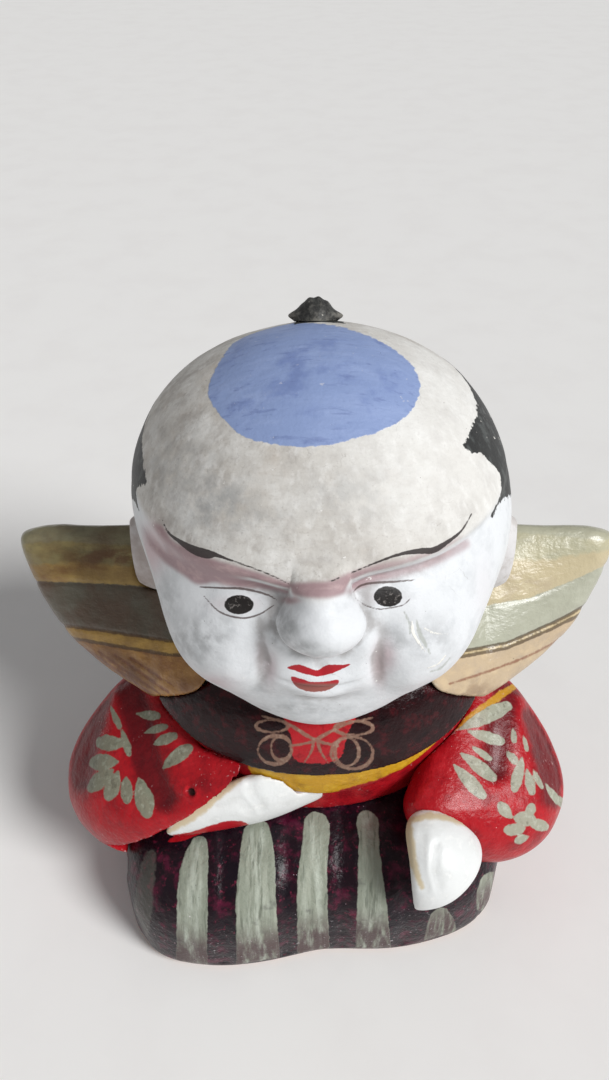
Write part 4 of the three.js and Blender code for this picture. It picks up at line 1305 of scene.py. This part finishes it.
for which, (form, wing) in sleeveForms.items():
    detail = sleevePaint[which]
    sleeve = worked(which + "Sleeve", form, [*bodySeats, wing], sleevePaint["voxel"], rounds=6)
    spots, facing = onSheet(sleeve)
    folds, pits = brushField(spots, detail["folds"], 1.0), brushField(spots, detail["pits"], 1.0)
    folds = bump(np.minimum(folds, 0), sleevePaint["foldWidth"]) * smooth(facing / 0.3)
    dents = sleevePaint["foldDepth"] * folds + 1.2 * smooth((pits + 2) / 3) - 0.5 * bump(pits + 2.5, 2.0)
    press(sleeve, sleevePaint["uneven"], rounds=18, dents=dents)
    leaves = [leafOf(*dab) for dab in detail["leaves"]]
    setFields(sleeve, fold=folds, pit=pits * square,
              edging=towards(brushField(spots, detail["edging"]), facing),
              leaf=towards(brushField(spots, leaves), facing))
    cloth = robeRed("varnishedRedOn" + which.title() + "Sleeve", [
        # painted shade in the valleys of the folds
        coat("#3d0a12", byField("fold", 0.35, 0.15, 4.0, inset=0.4, seed=24), 0.7),
        coat("#c4932a", byField("edging", 0.4, 0.4, 3.0, seed=26), 0.9),
        coat("#2a1512", byField("pit", 0.5, 0.2, 1.5, seed=25), 0.9, rough=0.7),
        # the leaf colours differ between the sleeves by painted light and shade
        coat(detail["leaf"], leafMask, 0.93, rough=0.45, lift=0.08),
        coat(detail["leafTop"], (leafMask, blotches(2.6, 0.5, 0.66, seed=21)), 0.6),
        coat("#5f5a4c", (leafMask, blotches(3.4, 0.56, 0.68, seed=22)), 0.5),
    ])
    addPiece(which + "SleeveShell", sleeve, cloth, "robe_red", which + "_sleeve")
print("sleeves done")

# Hands

handSizes = {
    "right": {"path": [(-63.72, -62.0, 66.0), (-23.94, -52.0, 86.0), (5.7, -46.0, 74.0)],
              "width": 30.0, "depth": 12.0, "fullness": lambda t: 0.4 + 0.6 * bump(t - 0.5, 0.4)},
    "left": {"path": [(54.2, -56.0, 70.0), (52.2, -89.0, 72.0), (40.2, -88.5, 53.0)],
             "width": 20.0, "depth": 40.0, "fullness": lambda t: 1.15 - 0.98 * t**1.2},
}

handPaint = {
    "right": {"rim": [[(164, 834, 2.5), (199, 811, 4.5), (230, 784, 5), (249, 768, 4)]],
              "turnedEdges": [[(158, 838), (170, 835), (193, 831), (212, 825), (230, 821), (246, 823),
                               (250, 832), (236, 840), (200, 850), (166, 852)]],
              "creases": [[(250, 778, 1), (252, 796, 2), (262, 808, 1)],
                          [(218, 806, 1), (238, 802, 2), (250, 810, 1)]]},
    "left": {"rim": [[(408, 824, 4), (409, 840, 5), (413, 862, 4), (422, 888, 1.5)],
                     [(410, 820, 3), (436, 816, 3.5), (478, 828, 3.5), (496, 848, 3)]],
             "turnedEdges": [],
             "creases": [[(422, 836, 1), (420, 862, 2), (426, 888, 1)],
                         [(436, 846, 1), (434, 870, 1.5), (438, 886, 1)]]},
    "voxel": 0.75, "uneven": [(0.25, 10, 16)],
}
# Shell white on clay, thick and smooth on the hands, with the buff undercoat showing at the cuffs.
handWhite = painted("shellWhiteOnHands", "#e4e6e5", 0.42, [
    coat("#d2d4d2", blotches(8, 0.48, 0.7, seed=1), 0.5),
    coat("#f1f2f0", blotches(4, 0.54, 0.7, seed=2), 0.6),
    coat("#c9b58a", byField("rim", 0.9, 0.5, 3.0, seed=3), 0.8),
    coat("#b31722", byField("turnedEdge", 0.3, 0.3, 2.4, seed=6), rough=0.34),
    coat("#9a8a76", byField("hollow", 0.3, 0.1, 2.0, inset=0.28), 0.45),
    coat("#9d4a45", blotches(3.0, 0.72, 0.76, seed=4), 0.35),
    coat("#6c6058", pitted(5.0, 0.25, 0.2, seed=1), 0.6, lift=-0.08),
    coat(None, blotches(3.0, 0.3, 0.7, seed=5), lift=0.07),
])
handCuts = {
    "right": [rightSleeveMesh(seatGap), cuffBlock(1, seatGap)],
    "left": [sleeveMesh(sleeveSizes["wrist"], seatGap)],
}
for which, sleeveSeats in handCuts.items():
    size, detail = handSizes[which], handPaint[which]
    path = [np.array(p) + (0.0, backShift, 0.0) for p in size["path"]]
    form = limbMesh(path, size["width"], size["depth"], size["fullness"])
    hand = worked(which + "Hand", form, bodySeats + sleeveSeats, handPaint["voxel"], rounds=5)
    spots, facing = onSheet(hand)
    creases = bump(np.minimum(brushField(spots, detail["creases"], 1.0), 0), 5.0)
    press(hand, handPaint["uneven"], rounds=12, dents=0.55 * creases * smooth(facing / 0.3))
    setFields(hand, turnedEdge=towards(outlineField(spots, detail["turnedEdges"]), facing),
              rim=towards(brushField(spots, detail["rim"]), facing))
    addPiece(which + "HandCast", hand, handWhite, "shell_white", which + "_hand")
print("hands done")

# Neck tube, out of sight inside: bare fired clay, matt and sandy
bareClay = painted("bareFiredClay", "#a9744d", 0.88, [
    coat("#8d5a38", blotches(6, 0.46, 0.66, seed=1), 0.6),
    coat("#c39a72", pitted(2.0, 0.3, 0.5, seed=1), 0.6),
    coat(None, blotches(0.8, 0.3, 0.7, seed=2), lift=0.1),
])
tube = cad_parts["neck_tube"]
tube.data.materials.clear()
tube.data.materials.append(bareClay)

# Studio

studio = {
    "eye": layoutSheet["eye"], "pitch": layoutSheet["pitch"], "lens": 27.7,  # 36 mm over the tall side
    "keyFrom": (0.64, -0.44, 0.63), "keySpread": 22.0, "keyPower": 2.9,  # a large soft box on the right
    "fillPlace": (-0.75, -0.45, 0.55), "fillSize": 0.9, "fillPower": 0.5,
    "ambient": 0.27, "inGloss": 0.16, "backdrop": 0.9, "floor": "#f4f3f1", "floorReach": 12.0,
}
scene = bpy.context.scene
camera = bpy.data.objects.new("camera", bpy.data.cameras.new("camera"))
camera.location = [v * mm for v in studio["eye"]]
camera.rotation_euler = (math.radians(90 - studio["pitch"]), 0, 0)
camera.data.lens = studio["lens"]
camera.data.clip_start = 0.01
scene.collection.objects.link(camera)
scene.camera = camera

key = bpy.data.objects.new("key", bpy.data.lights.new("key", "SUN"))
key.data.energy, key.data.angle = studio["keyPower"], math.radians(studio["keySpread"])
fill = bpy.data.objects.new("fill", bpy.data.lights.new("fill", "AREA"))
fill.data.energy, fill.data.size = studio["fillPower"], studio["fillSize"]
fill.location = studio["fillPlace"]
for lamp, (x, y, z) in ((key, studio["keyFrom"]), (fill, studio["fillPlace"])):
    lamp.rotation_euler = (math.atan2(math.hypot(x, y), z), 0, math.atan2(x, -y))
    scene.collection.objects.link(lamp)

world = bpy.data.worlds.new("studio")
world.use_nodes = True
scene.world = world
tree = world.node_tree
tree.nodes.clear()
path = addNode(tree, "ShaderNodeLightPath")
seen = addNode(tree, "ShaderNodeMapRange",
               {0: path.outputs["Is Camera Ray"], 3: studio["ambient"], 4: studio["backdrop"]})
glow = addNode(tree, "ShaderNodeMix", {0: path.outputs["Is Glossy Ray"], 2: seen, 3: studio["inGloss"]})
sky = addNode(tree, "ShaderNodeBackground", {0: hexColour("#f4f4f6"), 1: glow})
addNode(tree, "ShaderNodeOutputWorld", {0: sky})

reach = studio["floorReach"]
floor = bpy.data.objects.new("floor", bpy.data.meshes.new("floor"))
corners = [(-reach, -reach, 0), (reach, -reach, 0), (reach, reach, 0), (-reach, reach, 0)]
floor.data.from_pydata(corners, [], [(0, 1, 2, 3)])
# Matt background paper, faintly uneven.
paper = painted("paperSweep", studio["floor"], 0.8, [
    coat("#eeecea", blotches(60, 0.4, 0.7), 0.4),
])
floor.data.materials.append(paper)
scene.collection.objects.link(floor)

scene.view_settings.view_transform = "Standard"
print("studio ready")
